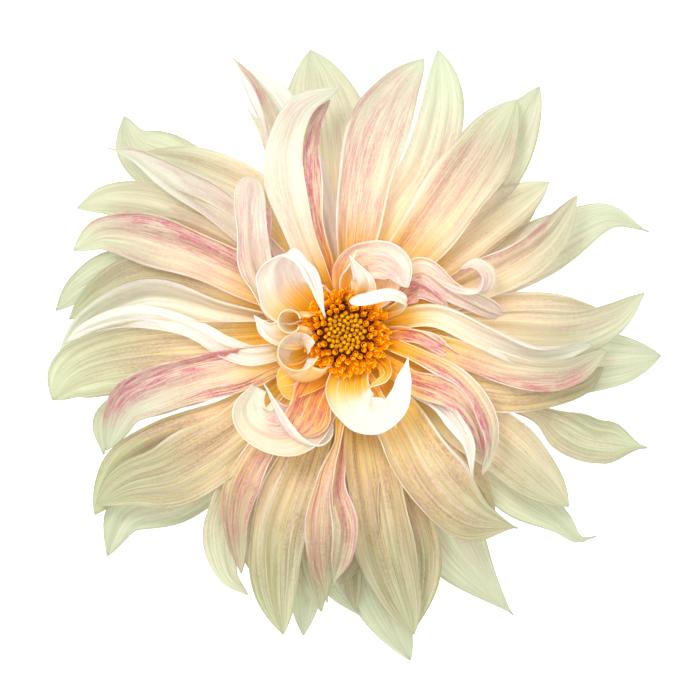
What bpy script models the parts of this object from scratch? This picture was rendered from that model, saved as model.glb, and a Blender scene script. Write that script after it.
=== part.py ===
"""A dahlia bloom, cut from its plant and resting face up: the construction model.

Units are metres with +Z up. The origin is on the surface that the bloom rests on, under
the middle of its outline. Profiles and the petal table are in millimetres from the disc's
axis, and the finished parts are moved to the origin together.
"""

import math
import random
from dataclasses import dataclass

import bmesh
import bpy
from mathutils import Quaternion, Vector

MM = 0.001

# Petals
PETAL_THICKNESS = 0.7 * MM
MIDRIB_SAMPLES = 60
LEAST_WIDTH = 0.9
LEAST_BEND_RADIUS = 0.9
ROOT_RADIUS = 9.5
ROOT_DROP = 0.45
ROOT_TOP = 22.5
ROOT_FLOOR = 15.5

# Turned profiles as (radius, height) in millimetres, from the axis outward and back
RECEPTACLE_PROFILE = (
    (0, 13.0), (8.0, 13.0), (12.0, 15.0), (13.6, 19.0), (12.4, 23.5), (9.6, 26.0), (0, 26.0))
CALYX_PROFILE = ((0, 7.7), (4.6, 7.7), (7.4, 9.2), (8.4, 12.7), (0, 12.7))
DISC_PROFILE = ((0, 26.3), (8.6, 26.3), (9.0, 28.0), (7.4, 30.6), (4.0, 32.0), (0, 32.4))
TURN_STEPS = 18

# Disc florets
DISC_RADIUS = 8.2
DISC_TOP = 32.4
DISC_SAG = 3.6
FLORET_COUNT = 78
FLORET_RADIUS = 0.72
FLORET_SIDES = 5
BUD_RADIUS = 5.4
BUD_LENGTH = 2.6
OPEN_LENGTH = 5.6
FLORET_SINK = 1.4
GOLDEN_ANGLE = math.radians(137.508)

# Calyx bracts
BRACT_COUNT = 8
BRACT_WIDTH = 6.0
BRACT_PATH = ((5.0, 0, 10.2), (10.0, 0, 9.2), (16.0, 0, 8.6), (21.0, 0, 6.2))

# Stem stub
STEM_RADIUS = 4.2
STEM_HEIGHT = 7.4
STEM_SIDES = 24

# Rows of petals, with how many segments their construction blades have across and along
BACK = (2, 4)
MIDDLE = (2, 5)
INNER = (2, 7)
CURL = (3, 7)

# Width along a petal: share at its claw, place of its widest point, two tip powers
OUTLINES = {
    "broad": (0.42, 0.60, 2.3, 0.85),
    "keen": (0.42, 0.60, 2.0, 1.4),
    "lance": (0.50, 0.50, 1.9, 1.05),
    "strap": (0.70, 0.55, 3.2, 0.80),
    "blunt": (0.50, 0.70, 4.0, 0.45),
}
WIDTH_SHARES = {
    "waist": (0.45, 0.5, 0.22, 0.75, 1.0, 0.9, 0.05),
    "spike": (0.42, 0.85, 1.0, 0.85, 0.4, 0.18, 0.13, 0.02),
    "tube": (0.35, 0.7, 0.9, 1, 1, 1, 1.12),
    "ladle": (0.5, 0.95, 1.0, 0.95, 0.95, 0.85, 0.15),
    "crescent": (0.5, 0.85, 1.0, 0.95, 0.8, 0.5, 0.32, 0.03),
    "twisted": (0.5, 0.6, 0.7, 0.55, 0.45, 1.0, 0.9, 0.04),
}


@dataclass(frozen=True)
class Petal:
    """One ray petal, in millimetres and degrees.

    Attributes:
        name: where the petal stands on the bloom.
        row: the segments across and along its blade.
        width: the blade's greatest width, measured round its cup.
        path: points of the midrib from the root to the tip.
        roll: turns of the blade about its midrib, evenly spaced from root to tip.
        cup: how far each side bends up, evenly spaced from root to tip.
        outline: the key of its width profile.
    """

    name: str
    row: tuple
    width: float
    path: tuple
    roll: tuple = (0, 0, 0)
    cup: tuple = (60, 25, 20)
    outline: str = "broad"


PETALS = (
    Petal("n_back", BACK, 30, ((-2, 12, 16), (-4, 40, 18), (-7, 72, 12), (-13, 100.5, 0.45))),
    Petal("nnw_thin", BACK, 9, roll=(-20, -20, -20), cup=(60, 50, 30), outline="lance", path=(
        (-4, 12, 18), (-16, 45, 25), (-25, 72, 25), (-31, 86, 21), (-40, 96.5, 15))),
    Petal("nnw_thin_lap", BACK, 17, cup=(60, 20, 20), path=(
        (-3, 13, 17.5), (-13, 48, 22), (-20, 68, 21), (-27, 82, 17), (-38.5, 95.5, 12))),
    Petal("nnw_small", BACK, 8, cup=(60, 20, 20), outline="lance", path=(
        (-5, 12, 16), (-18, 48, 18), (-27, 67, 14), (-35, 79, 9))),
    Petal("nw_back", BACK, 24, path=(
        (-9, 11, 16), (-40, 42, 19), (-62, 58, 13), (-75, 66, 6), (-79, 77, 0.45))),
    Petal("w_back", BACK, 17, roll=(-15, -15, -10), path=(
        (-13, 4, 16), (-48, 19, 21), (-76, 22, 17), (-94, 16, 9), (-103, 8, 4))),
    Petal("wsw_back", BACK, 13, path=(
        (-13, -4, 17), (-50, -18, 20), (-75, -24, 16), (-86, -32, 10), (-86, -43, 5))),
    Petal("sw_back", BACK, 20, roll=(-15, -15, -10), path=(
        (-10, -10, 16), (-38, -40, 18), (-60, -57, 12), (-78, -64, 5), (-85, -79, 0.45))),
    Petal("ssw_back", BACK, 13, ((-7, -12, 16), (-22, -45, 19), (-33, -72, 14), (-31, -88, 6))),
    Petal("s_back_left", BACK, 17, ((-3, -13, 15), (-9, -50, 17), (-14, -82, 10), (-15.5, -107, 2))),
    Petal("s_back_right", BACK, 22, ((1, -13, 15), (4, -50, 17), (10, -88, 8), (22.5, -116, 0.45))),
    Petal("sse_back", BACK, 25, outline="keen", path=(
        (6, -12, 15), (22.5, -48, 18), (37, -74, 11), (47, -87, 4), (59, -100, 0.7))),
    Petal("se_back", BACK, 19, outline="keen", path=(
        (9, -9, 15), (36, -34, 17), (58, -54, 10), (75, -66.5, 4), (82, -73, 1), (88.5, -72, 0.45))),
    Petal("ese_back", BACK, 17, roll=(0, 20, 50, 40, 0, 0), outline="twisted", path=(
        (12, -6, 17), (48, -20, 22), (70, -29, 18), (84, -37, 12), (93, -38.5, 9), (106, -40.5, 5))),
    Petal("e_back", BACK, 26, ((13, -2, 15), (50, -8, 19), (85, -10, 14), (111, -8, 5))),
    Petal("ene_back", BACK, 19, outline="keen", path=(
        (13, 4, 16), (45, 17, 20), (74, 33, 13), (92, 41, 6), (107, 36, 0.45))),
    Petal("ne_back", BACK, 21, ((9, 10, 16), (36, 40, 20), (55, 64, 16), (68, 87, 8))),
    Petal("n_broad", MIDDLE, 22, cup=(70, 25, 25), path=(
        (2, 13, 20), (4, 38, 28), (9, 65, 28), (17.5, 84, 23), (27, 96, 19))),
    Petal("nne", MIDDLE, 19, path=(
        (5, 13, 19), (16, 40, 24), (27, 57, 24), (33, 76, 21), (33.5, 90, 17), (32, 99.5, 14))),
    Petal("ne_broad", MIDDLE, 23.5, cup=(60, 35, 25), path=(
        (8, 11, 21), (28, 35, 29), (44, 57, 27), (52, 70, 22), (59.5, 82, 16))),
    Petal("ene", MIDDLE, 18, ((11, 9, 19), (35, 28, 25), (54, 42, 21), (71, 53, 14))),
    Petal("ene_small", MIDDLE, 12, ((11, 8, 18), (38, 26, 22), (56, 37, 18), (67, 45, 12))),
    Petal("ene_striped", MIDDLE, 17, roll=(20, 20, 20), path=(
        (12, 6, 22), (35, 14, 30), (55, 23, 30), (70, 33, 26), (80.5, 48, 20))),
    Petal("e_upper", MIDDLE, 13, ((13, 3, 19), (45, 7, 25), (68, 8, 22), (89, 8, 15))),
    Petal("e_main", MIDDLE, 17, roll=(15, 15, 15), path=(
        (14, 1, 20), (50, 1, 28), (76, 0, 26), (93, 5, 20), (104.5, 14, 14))),
    Petal("ese_tan", MIDDLE, 16, path=(
        (13, -5, 21), (40, -17, 29), (60, -20, 27), (82, -17, 20), (90, -12, 17))),
    Petal("se_striped", MIDDLE, 22, ((10, -9, 19), (42, -30, 25), (61, -45, 21), (78, -61, 12))),
    Petal("sse_narrow", MIDDLE, 12, ((8, -11, 19), (32, -37, 25), (44, -52, 21), (52, -64, 15))),
    Petal("sse_broad", MIDDLE, 26, roll=(0, -20, -25, -10), cup=(60, 40, 30), outline="keen", path=(
        (6, -12, 22), (19, -34, 32), (29, -52, 31), (42, -64, 25), (60, -68.5, 15))),
    Petal("s_broad", MIDDLE, 23, ((3, -14, 20), (9, -48, 27), (14, -76, 22), (23.5, -106, 12))),
    Petal("s_broad_lap", MIDDLE, 18, ((4, -13, 18), (16, -48, 23), (25, -76, 18), (24, -104, 9))),
    Petal("s_middle", MIDDLE, 18, ((0, -14, 19), (3, -48, 25), (3, -70, 21), (-2, -88, 14))),
    Petal("ssw_broad", MIDDLE, 21, path=(
        (-5, -13, 21), (-15, -42, 29), (-24, -68, 26), (-25, -88, 20), (-22.5, -106, 13))),
    Petal("ssw_green", MIDDLE, 15, ((-3, -14, 19), (-10, -50, 24), (-13, -76, 20), (-9, -98, 12))),
    Petal("s_small", MIDDLE, 11, ((-1, -13, 17), (0, -50, 20), (1, -78, 16), (3, -98, 9))),
    Petal("s_crescent", MIDDLE, 10, ((-2, -13, 16), (-5, -55, 18), (-6, -86, 12), (5, -100, 6))),
    Petal("sw_folded_back", MIDDLE, 14, path=(
        (-8, -12, 19), (-32, -42, 26), (-43.5, -66, 23), (-42, -84, 17), (-35, -92, 13))),
    Petal("sw_folded_front", MIDDLE, 12, roll=(25, 25, 25), path=(
        (-8, -11, 22), (-27, -37, 32), (-36, -53, 31), (-38.5, -66, 28), (-37, -84, 20))),
    Petal("wsw_upper", MIDDLE, 21, roll=(-15, -15, -15), path=(
        (-11, -8, 19), (-40, -31, 26), (-62, -39, 24), (-76, -46, 18), (-83, -54, 13), (-89, -64, 9))),
    Petal("wsw_lower", MIDDLE, 24, roll=(-10, -10, -10), path=(
        (-10, -10, 20), (-38, -35, 28), (-60, -48.5, 25.5), (-76, -53, 20.5), (-88, -60, 15))),
    Petal("w_pink", MIDDLE, 19, roll=(-20, -20, -20), cup=(60, 35, 30), path=(
        (-13, -4.5, 22), (-40, -12.3, 31), (-52, -14.8, 31.5), (-66, -19.6, 30), (-77, -26,
        25), (-84.5, -41, 17))),
    Petal("w_broad", MIDDLE, 28, roll=(-15, -15, -10), outline="strap", path=(
        (-14, -2, 20), (-42, -5, 27), (-68, -7, 25), (-86, -10, 19), (-97, -15, 13), (-104, -23.5, 9))),
    Petal("w_white_rim", MIDDLE, 16, roll=(-25, -25, -25), path=(
        (-14, 1, 19), (-42, 6, 26), (-68, 12, 24), (-88, 5, 17), (-101, -6, 10))),
    Petal("w_tan", MIDDLE, 16, roll=(-20, -20, -20), path=(
        (-14, 3, 18), (-42, 14, 25), (-70, 20, 21), (-86, 14, 14), (-98, 5, 8))),
    Petal("wnw_striped", MIDDLE, 19, roll=(-15, -15, -15), path=(
        (-13, 6, 22), (-40, 22, 31), (-62, 31, 29), (-84, 35, 23), (-96, 29, 17))),
    Petal("wnw_tan", MIDDLE, 17, roll=(-15, -15, -15), path=(
        (-12, 8, 19), (-44, 34, 26), (-66, 45, 24), (-82, 47, 18), (-95, 44, 12))),
    Petal("wnw_tan_low", MIDDLE, 12, ((-12, 8, 20), (-38, 27, 28), (-58, 37, 26), (-78, 41, 20))),
    Petal("nw_thread", MIDDLE, 14, cup=(60, 40, 30), outline="keen", path=(
        (-10, 10, 21), (-36, 37, 30), (-56, 51, 28), (-72, 61, 24), (-84, 65, 18))),
    Petal("nw_cream", MIDDLE, 16, ((-8, 11, 19), (-30, 46, 27), (-50, 57, 25), (-72, 63, 18))),
    Petal("nnw_s_shaped", INNER, 14, roll=(0, -10, -10), cup=(60, 40, 40), path=(
        (-7, 13, 24), (-17, 38, 37), (-21.5, 60, 40), (-16, 77, 36), (-3, 85, 30))),
    Petal("nw_upright", INNER, 14, cup=(60, 30, 10), outline="blunt", path=(
        (-14, 2, 20), (-23, 6, 28), (-32, 22, 37), (-34, 40, 42), (-33, 54, 39))),
    Petal("ene_pink_arch", INNER, 9, cup=(60, 40, 20), outline="strap", path=(
        (13, 12, 26), (25, 22, 38), (37, 15, 38), (48, 9, 34), (57, 5, 29))),
    Petal("ene_scroll", INNER, 9, roll=(0, 40, 80, 80), cup=(60, 40, 20), outline="strap", path=(
        (12, 11, 25), (28, 19, 33), (40, 15.5, 38), (47, 15, 42), (48.5, 20, 44), (44, 23.5,
        44), (39, 22, 42))),
    Petal("e_red_fold", INNER, 8, cup=(60, 40, 20), outline="lance", path=(
        (13, 9, 25), (24, 15, 33), (35, 9, 33))),
    Petal("e_long_white", INNER, 12, roll=(20, 20, 20), cup=(60, 40, 30), outline="strap", path=(
        (14, 4, 27), (30, 7, 38), (48, -1, 38), (66, -7, 33), (85.5, -4, 28))),
    Petal("e_pink_fold", INNER, 7, cup=(60, 40, 20), outline="lance", path=(
        (14, 1, 26), (24, -1, 34), (34, -6, 34), (46, -13, 30))),
    Petal("ese_striped", INNER, 13, cup=(60, 40, 30), outline="strap", path=(
        (14, -1, 25), (35, -6, 34), (56, -13, 33), (76, -14, 28), (90.5, -6, 23))),
    Petal("se_s_shaped", INNER, 7.5, roll=(0, -10, -20), cup=(60, 50, 45), outline="strap", path=(
        (13, -2, 27), (25, -8, 36), (36, -13.5, 39), (44, -21.5, 39), (49, -31, 37), (49.5,
        -40, 34), (47, -49.5, 30))),
    Petal("se_pink", INNER, 8.5, cup=(60, 30, 20), outline="lance", path=(
        (12, -9, 25), (22, -16.5, 33), (29, -19, 36), (35.5, -22, 37), (41, -26.5, 36), (45,
        -33, 33), (47.8, -45, 29))),
    Petal("s_twisted", INNER, 11, cup=(60, 60, 60, 50), outline="waist", path=(
        (-1, -14, 24), (-3, -36, 34), (-6, -46, 36), (-8.5, -60, 37), (-9, -74, 34.5), (-7, -94, 25))),
    Petal("s_twisted_flap", INNER, 9, cup=(60, 40, 20), outline="waist", path=(
        (1, -14, 22), (-2, -42, 33), (-3.5, -55, 37), (-0.8, -67, 39), (-1.5, -76, 37.5),
        (-5, -88, 30))),
    Petal("s_tail", INNER, 7, cup=(60, 40, 30), outline="strap", path=(
        (3, -13, 24), (12, -28, 33), (14.5, -41, 31))),
    Petal("sw_peach", INNER, 14, cup=(60, 50, 40), outline="blunt", path=(
        (-8, -12, 25), (-15, -16, 31), (-24, -18.5, 33))),
    Petal("nw_hood", CURL, 27, roll=(0, -5, -25, -40, -10, 30, 30), cup=(60, 60, 50, 30),
           outline="spike", path=(
        (-13.5, 8, 27), (-19.5, 15, 34), (-21.5, 23, 43), (-18, 28, 51), (-12.8, 21, 54.5),
        (-7.5, 5.4, 46.5))),
    Petal("ne_hood", CURL, 14, roll=(0, 0, -10, -40, -60, -60), cup=(50, 50, 40, 30),
           outline="strap", path=(
        (4, 13, 27), (3.5, 19, 36), (7, 25, 43), (12.5, 26.8, 47), (17.5, 22.5, 49.5), (18,
        14.5, 50.5))),
    Petal("ne_flap", CURL, 10, cup=(30, 30, 30), outline="lance", path=(
        (4, 13.5, 34), (6, 17, 40), (4, 21.5, 46), (1, 26.5, 50))),
    Petal("ne_roll", CURL, 6.5, cup=(50, 40, 30), outline="strap", path=(
        (13, 6, 26), (18, 9, 36), (19.5, 10.5, 43), (15, 13.5, 49), (8, 12.5, 50), (1, 10.3, 47))),
    Petal("w_scroll", CURL, 20, cup=(60, 150, 160), outline="tube", path=(
        (-13, 4, 27), (-20.5, 5, 34), (-23.8, 4.6, 45))),
    Petal("w_boat", CURL, 11, cup=(60, 70, 60, 50), outline="lance", path=(
        (-14, 2, 27), (-20, -1, 33), (-27, -0.5, 38), (-32, 6, 41))),
    Petal("w_funnel", CURL, 34, cup=(60, 120, 165, 158), outline="tube", path=(
        (-11, -8, 26), (-19, -12, 31), (-23, -9.5, 37), (-23.8, -7, 44))),
    Petal("sw_scroll", CURL, 19, cup=(60, 50, 40), outline="blunt", path=(
        (-8, -14, 26), (-13, -23, 33), (-18, -30.5, 38.5), (-24, -34.5, 42), (-30, -35, 43))),
    Petal("sw_lobe", CURL, 17, roll=(0, 0, 0, -10, -30, -45), cup=(60, 50, 40, 30),
           outline="ladle", path=(
        (-7, -14, 24), (-15, -27, 33), (-23, -34, 41), (-31, -33.5, 46), (-33.5, -26, 48.5),
        (-30.5, -18.5, 48.5))),
    Petal("s_white_curl", CURL, 18.5, roll=(0, 0, 15, 45, 70, 80), cup=(60, 55, 45, 40),
           outline="crescent", path=(
        (3, -14, 27), (0.2, -22.7, 34), (7, -29.6, 41), (17, -26, 48), (21, -8.5, 52))),
    Petal("se_flap", CURL, 5, cup=(60, 30, 20), outline="strap", path=(
        (11, -10, 27), (14, -14, 33), (8, -19, 36))),
)

def blend(stations, place):
    """Return the value at a place from 0 to 1 between evenly spaced stations."""
    last = len(stations) - 1
    spot = min(max(place, 0.0), 1.0) * last
    index = min(int(spot), last - 1)
    share = spot - index
    share = share * share * (3 - 2 * share)
    return stations[index] * (1 - share) + stations[index + 1] * share


def width_share(outline, place):
    """Return the blade's width at a place from 0 to 1, as a share of its greatest width."""
    if outline in WIDTH_SHARES:
        return blend(WIDTH_SHARES[outline], place)
    claw, widest, fullness, point = OUTLINES[outline]
    if place < widest:
        return claw + (1 - claw) * math.sin(place / widest * math.pi / 2) ** 1.3
    beyond = (place - widest) / (1 - widest)
    return (1 - beyond ** fullness) ** point


def smooth_point(points, place):
    """Return the point at a place from 0 to 1 on a smooth curve through the given points."""
    gaps = [(after - before).length for before, after in zip(points, points[1:])]
    distance = place * sum(gaps)
    index = 0
    while index < len(gaps) - 1 and distance > gaps[index]:
        distance -= gaps[index]
        index += 1
    share = min(1.0, distance / gaps[index])
    start, end = points[index], points[index + 1]
    before = points[index - 1] if index else start * 2 - end
    after = points[index + 2] if index + 2 < len(points) else end * 2 - start
    leave = (end - before) * (gaps[index] / ((end - start).length + (start - before).length))
    arrive = (after - start) * (gaps[index] / ((after - end).length + (end - start).length))
    square, cube = share * share, share ** 3
    return (start * (2 * cube - 3 * square + 1) + leave * (cube - 2 * square + share)
            + end * (3 * square - 2 * cube) + arrive * (cube - square))


def rooted_path(petal):
    """Return the midrib's points, begun inside the receptacle."""
    points = [Vector(point) for point in petal.path]
    first = points[0]
    reach = first.to_2d().length
    if reach > ROOT_RADIUS:
        root = first * (ROOT_RADIUS / reach)
        root.z = min(max(first.z - ROOT_DROP * (reach - ROOT_RADIUS), ROOT_FLOOR), ROOT_TOP)
        points[0] = root
    return points


def midrib(points):
    """Return evenly spaced (point, tangent, across) frames along a smooth midrib."""
    spots = [smooth_point(points, step / MIDRIB_SAMPLES) for step in range(MIDRIB_SAMPLES + 1)]
    tangents = []
    for step in range(MIDRIB_SAMPLES + 1):
        before = spots[max(0, step - 1)]
        after = spots[min(MIDRIB_SAMPLES, step + 1)]
        tangents.append((after - before).normalized())
    across = Vector((0, 0, 1)).cross(tangents[0]).normalized()
    frames = [(spots[0], tangents[0], across)]
    for step in range(1, MIDRIB_SAMPLES + 1):
        across = tangents[step - 1].rotation_difference(tangents[step]) @ across
        across = (across - tangents[step] * across.dot(tangents[step])).normalized()
        frames.append((spots[step], tangents[step], across))
    return frames


def blade_point(petal, frames, side, place):
    """Return the point of a blade at a side from -1 to 1 and a place from 0 to 1."""
    spot = place * MIDRIB_SAMPLES
    index = min(int(spot), MIDRIB_SAMPLES - 1)
    share = spot - index
    centre = frames[index][0].lerp(frames[index + 1][0], share)
    tangent = frames[index][1].lerp(frames[index + 1][1], share).normalized()
    across = frames[index][2].lerp(frames[index + 1][2], share).normalized()
    across = Quaternion(tangent, math.radians(blend(petal.roll, place))) @ across
    up = tangent.cross(across)
    half = max(petal.width * width_share(petal.outline, place), LEAST_WIDTH) / 2
    bend = min(math.radians(max(blend(petal.cup, place), 1.0)), half / LEAST_BEND_RADIUS)
    return (centre + across * (half * math.sin(bend * side) / bend)
            + up * (half * (1 - math.cos(bend * side)) / bend))


def make_material(name, colour, roughness):
    """Return a plain Principled material."""
    material = bpy.data.materials.new(name)
    material.use_nodes = True
    shader = material.node_tree.nodes["Principled BSDF"]
    shader.inputs["Base Color"].default_value = (*colour, 1)
    shader.inputs["Roughness"].default_value = roughness
    shader.inputs["Metallic"].default_value = 0.0
    material.diffuse_color = (*colour, 1)
    return material


def make_object(name, mesh):
    """Return an object that holds a mesh, linked into the scene."""
    made = bpy.data.objects.new(name, mesh)
    bpy.context.scene.collection.objects.link(made)
    return made


def apply_modifiers(made):
    """Apply an object's modifiers to its mesh."""
    bpy.context.view_layer.objects.active = made
    for modifier in list(made.modifiers):
        bpy.ops.object.modifier_apply(modifier=modifier.name)


def make_blade(petal, points):
    """Return one petal as a closed blade of even thickness."""
    frames = midrib(points)
    blade = bmesh.new()
    across, along = petal.row
    bmesh.ops.create_grid(blade, x_segments=across, y_segments=along, size=1.0)
    for corner in blade.verts:
        corner.co = blade_point(petal, frames, corner.co.x, (corner.co.y + 1) / 2) * MM
    bmesh.ops.triangulate(blade, faces=blade.faces)
    mesh = bpy.data.meshes.new(petal.name)
    blade.to_mesh(mesh)
    blade.free()
    made = make_object(petal.name, mesh)
    solid = made.modifiers.new("thickness", "SOLIDIFY")
    solid.thickness = PETAL_THICKNESS
    solid.offset = 0.0
    apply_modifiers(made)
    return made


def turned(name, profile, steps=TURN_STEPS):
    """Return a solid turned about the Z axis from a profile in millimetres."""
    shape = bmesh.new()
    corners = [shape.verts.new((radius * MM, 0, height * MM)) for radius, height in profile]
    for start, end in zip(corners, corners[1:]):
        shape.edges.new((start, end))
    mesh = bpy.data.meshes.new(name)
    shape.to_mesh(mesh)
    shape.free()
    made = make_object(name, mesh)
    screw = made.modifiers.new("turn", "SCREW")
    screw.steps = steps
    screw.render_steps = steps
    screw.use_merge_vertices = True
    screw.merge_threshold = 0.00001
    apply_modifiers(made)
    face_outward(made)
    return made


def face_outward(made):
    """Turn every face of a closed mesh outward."""
    shape = bmesh.new()
    shape.from_mesh(made.data)
    bmesh.ops.recalc_face_normals(shape, faces=shape.faces)
    shape.to_mesh(made.data)
    shape.free()


def islands(shape):
    """Return the groups of faces that meet along edges with two faces."""
    waiting = set(shape.faces)
    groups = []
    while waiting:
        group = [waiting.pop()]
        for face in group:
            for edge in face.edges:
                for neighbour in edge.link_faces if len(edge.link_faces) == 2 else ():
                    if neighbour in waiting:
                        waiting.discard(neighbour)
                        group.append(neighbour)
        groups.append(group)
    return groups


def keep_largest(made):
    """Keep a fused mesh's outer body, and drop scrap and sealed hollows."""
    shape = bmesh.new()
    shape.from_mesh(made.data)
    bmesh.ops.triangulate(shape, faces=shape.faces)
    groups = sorted(islands(shape), key=len)
    for group in groups[:-1]:
        bmesh.ops.delete(shape, geom=group, context="FACES")
    shape.to_mesh(made.data)
    shape.free()


def fuse(body, pieces, material):
    """Join pieces to the body that they grow from, as one closed solid."""
    group = bpy.data.collections.new(body.name + "_pieces")
    bpy.context.scene.collection.children.link(group)
    for piece in pieces:
        group.objects.link(piece)
    union = body.modifiers.new("fuse", "BOOLEAN")
    union.operation = "UNION"
    union.operand_type = "COLLECTION"
    union.solver = "EXACT"
    union.collection = group
    apply_modifiers(body)
    for piece in pieces:
        bpy.data.objects.remove(piece)
    bpy.data.collections.remove(group)
    keep_largest(body)
    body.data.materials.clear()
    body.data.materials.append(material)
    return body


def make_ray_petals(material):
    """Return every ray petal fused to the receptacle."""
    body = turned("ray_petals", RECEPTACLE_PROFILE)
    blades = [make_blade(petal, rooted_path(petal)) for petal in PETALS]
    return fuse(body, blades, material)


def make_disc(material):
    """Return the disc: a low dome with its florets in spiral order."""
    body = turned("disc_florets", DISC_PROFILE)
    drawn = random.Random(7)
    florets = []
    for index in range(FLORET_COUNT):
        reach = DISC_RADIUS * math.sqrt((index + 0.5) / FLORET_COUNT)
        angle = index * GOLDEN_ANGLE
        outward = Vector((math.cos(angle), math.sin(angle), 0))
        opened = reach > BUD_RADIUS
        length = OPEN_LENGTH * drawn.uniform(0.8, 1.1) if opened else BUD_LENGTH
        lean = 0.75 * reach / DISC_RADIUS
        grow = (outward * lean + Vector((0, 0, 1))).normalized()
        foot = outward * reach
        foot.z = DISC_TOP - DISC_SAG * (reach / DISC_RADIUS) ** 2
        shape = bmesh.new()
        top = FLORET_RADIUS * (1.25 if opened else 0.7)
        bmesh.ops.create_cone(shape, cap_ends=True, segments=FLORET_SIDES, radius1=FLORET_RADIUS * 0.8 * MM,
                              radius2=top * MM, depth=(length + FLORET_SINK) * MM)
        mesh = bpy.data.meshes.new("floret")
        shape.to_mesh(mesh)
        shape.free()
        floret = make_object("floret", mesh)
        middle = foot + grow * (length - FLORET_SINK) / 2
        turn = grow.to_track_quat("Z", "Y").to_matrix().to_4x4()
        floret.data.transform(turn)
        floret.location = middle * MM
        florets.append(floret)
    bpy.context.view_layer.update()
    return fuse(body, florets, material)


def make_calyx(material):
    """Return the green cup under the petals with its ring of bracts."""
    body = turned("calyx_bracts", CALYX_PROFILE)
    bract = Petal("bract", (2, 5), BRACT_WIDTH, BRACT_PATH, cup=(40, 20, 10))
    bracts = []
    for index in range(BRACT_COUNT):
        blade = make_blade(bract, [Vector(point) for point in bract.path])
        blade.rotation_euler.z = math.tau * index / BRACT_COUNT
        bracts.append(blade)
    bpy.context.view_layer.update()
    return fuse(body, bracts, material)


def make_stem(material):
    """Return the cut neck that the bloom rests on."""
    bpy.ops.mesh.primitive_cylinder_add(vertices=STEM_SIDES, radius=STEM_RADIUS * MM,
                                        depth=STEM_HEIGHT * MM, location=(0, 0, STEM_HEIGHT * MM / 2))
    stem = bpy.context.object
    stem.name = "stem_stub"
    stem.data.materials.append(material)
    return stem


def centre_on_origin(parts):
    """Move the parts so that the middle of the bloom's outline is over the origin."""
    bpy.context.view_layer.update()
    corners = [made.matrix_world @ Vector(corner) for made in parts for corner in made.bound_box]
    for axis in (0, 1):
        least = min(corner[axis] for corner in corners)
        most = max(corner[axis] for corner in corners)
        for made in parts:
            made.location[axis] -= (least + most) / 2


def main():
    """Build the bloom."""
    for old in list(bpy.data.objects):
        bpy.data.objects.remove(old)
    centre_on_origin([
        make_ray_petals(make_material("petal_cream", (0.88, 0.80, 0.62), 0.55)),
        make_disc(make_material("floret_orange", (0.86, 0.36, 0.03), 0.6)),
        make_calyx(make_material("bract_green", (0.22, 0.36, 0.10), 0.6)),
        make_stem(make_material("stem_green", (0.27, 0.40, 0.13), 0.6)),
    ])


if __name__ == "__main__":
    main()
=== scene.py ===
"""The looks of a dahlia bloom: its petals, disc, calyx, cut neck and studio.

Sizes are in millimetres from the disc's axis and the surface that the bloom rests on,
except where a name says otherwise. Meshes are written in metres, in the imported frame.
"""

import logging
import math
import random
from dataclasses import dataclass, field
from enum import Enum

import bmesh
import bpy
from mathutils import Matrix, Quaternion, Vector

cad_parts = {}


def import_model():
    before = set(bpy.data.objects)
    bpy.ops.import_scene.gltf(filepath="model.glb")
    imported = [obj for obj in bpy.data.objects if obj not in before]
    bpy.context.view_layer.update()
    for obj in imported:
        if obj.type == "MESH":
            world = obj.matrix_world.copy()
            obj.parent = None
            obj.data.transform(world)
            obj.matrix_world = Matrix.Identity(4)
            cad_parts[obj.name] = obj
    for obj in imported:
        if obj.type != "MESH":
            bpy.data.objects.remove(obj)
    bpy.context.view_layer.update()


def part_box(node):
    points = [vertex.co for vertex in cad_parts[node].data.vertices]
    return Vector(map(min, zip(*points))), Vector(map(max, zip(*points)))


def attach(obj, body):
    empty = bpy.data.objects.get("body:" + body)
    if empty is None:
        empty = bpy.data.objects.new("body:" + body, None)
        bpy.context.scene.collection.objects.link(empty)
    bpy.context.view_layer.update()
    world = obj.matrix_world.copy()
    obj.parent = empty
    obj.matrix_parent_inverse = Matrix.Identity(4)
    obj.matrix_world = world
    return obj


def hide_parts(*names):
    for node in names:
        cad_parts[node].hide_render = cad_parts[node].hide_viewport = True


LOG = logging.getLogger("dahlia")

MM = 0.001
BODY = "root"
GOLDEN_ANGLE = math.radians(137.508)

Shape = bmesh.types.BMesh
Socket = bpy.types.NodeSocket
Skin = bpy.types.Material
Piece = bpy.types.Object


class Row(Enum):
    """A row of petals, from the back, with its blades' squares across and along."""

    BACK = (18, 44)
    MIDDLE = (22, 52)
    INNER = (22, 64)
    CURL = (24, 64)

    @property
    def columns(self) -> int:
        """Squares across a blade."""
        return self.value[0]

    @property
    def lengths(self) -> int:
        """Squares along a blade."""
        return self.value[1]


class Outline(Enum):
    """A petal's width profile.

    Four numbers are the claw's share of the width, the place of the widest point and two tip
    powers. More are shares of the width, evenly spaced from root to tip.
    """

    BROAD = (0.42, 0.60, 2.3, 0.85)
    KEEN = (0.42, 0.60, 2.0, 1.4)
    LANCE = (0.50, 0.50, 1.9, 1.05)
    STRAP = (0.70, 0.55, 3.2, 0.80)
    BLUNT = (0.50, 0.70, 4.0, 0.45)
    WAIST = (0.45, 0.5, 0.22, 0.75, 1.0, 0.9, 0.05)
    SPIKE = (0.42, 0.85, 1.0, 0.85, 0.4, 0.18, 0.13, 0.02)
    TUBE = (0.35, 0.7, 0.9, 1.0, 1.0, 1.0, 1.12)
    SHELL = (0.42, 0.66, 0.72, 0.86, 1.0, 1.0, 0.35)
    CRESCENT = (0.5, 0.85, 1.0, 0.95, 0.8, 0.5, 0.32, 0.03)
    TWISTED = (0.5, 0.6, 0.7, 0.55, 0.45, 1.0, 0.9, 0.04)


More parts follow.
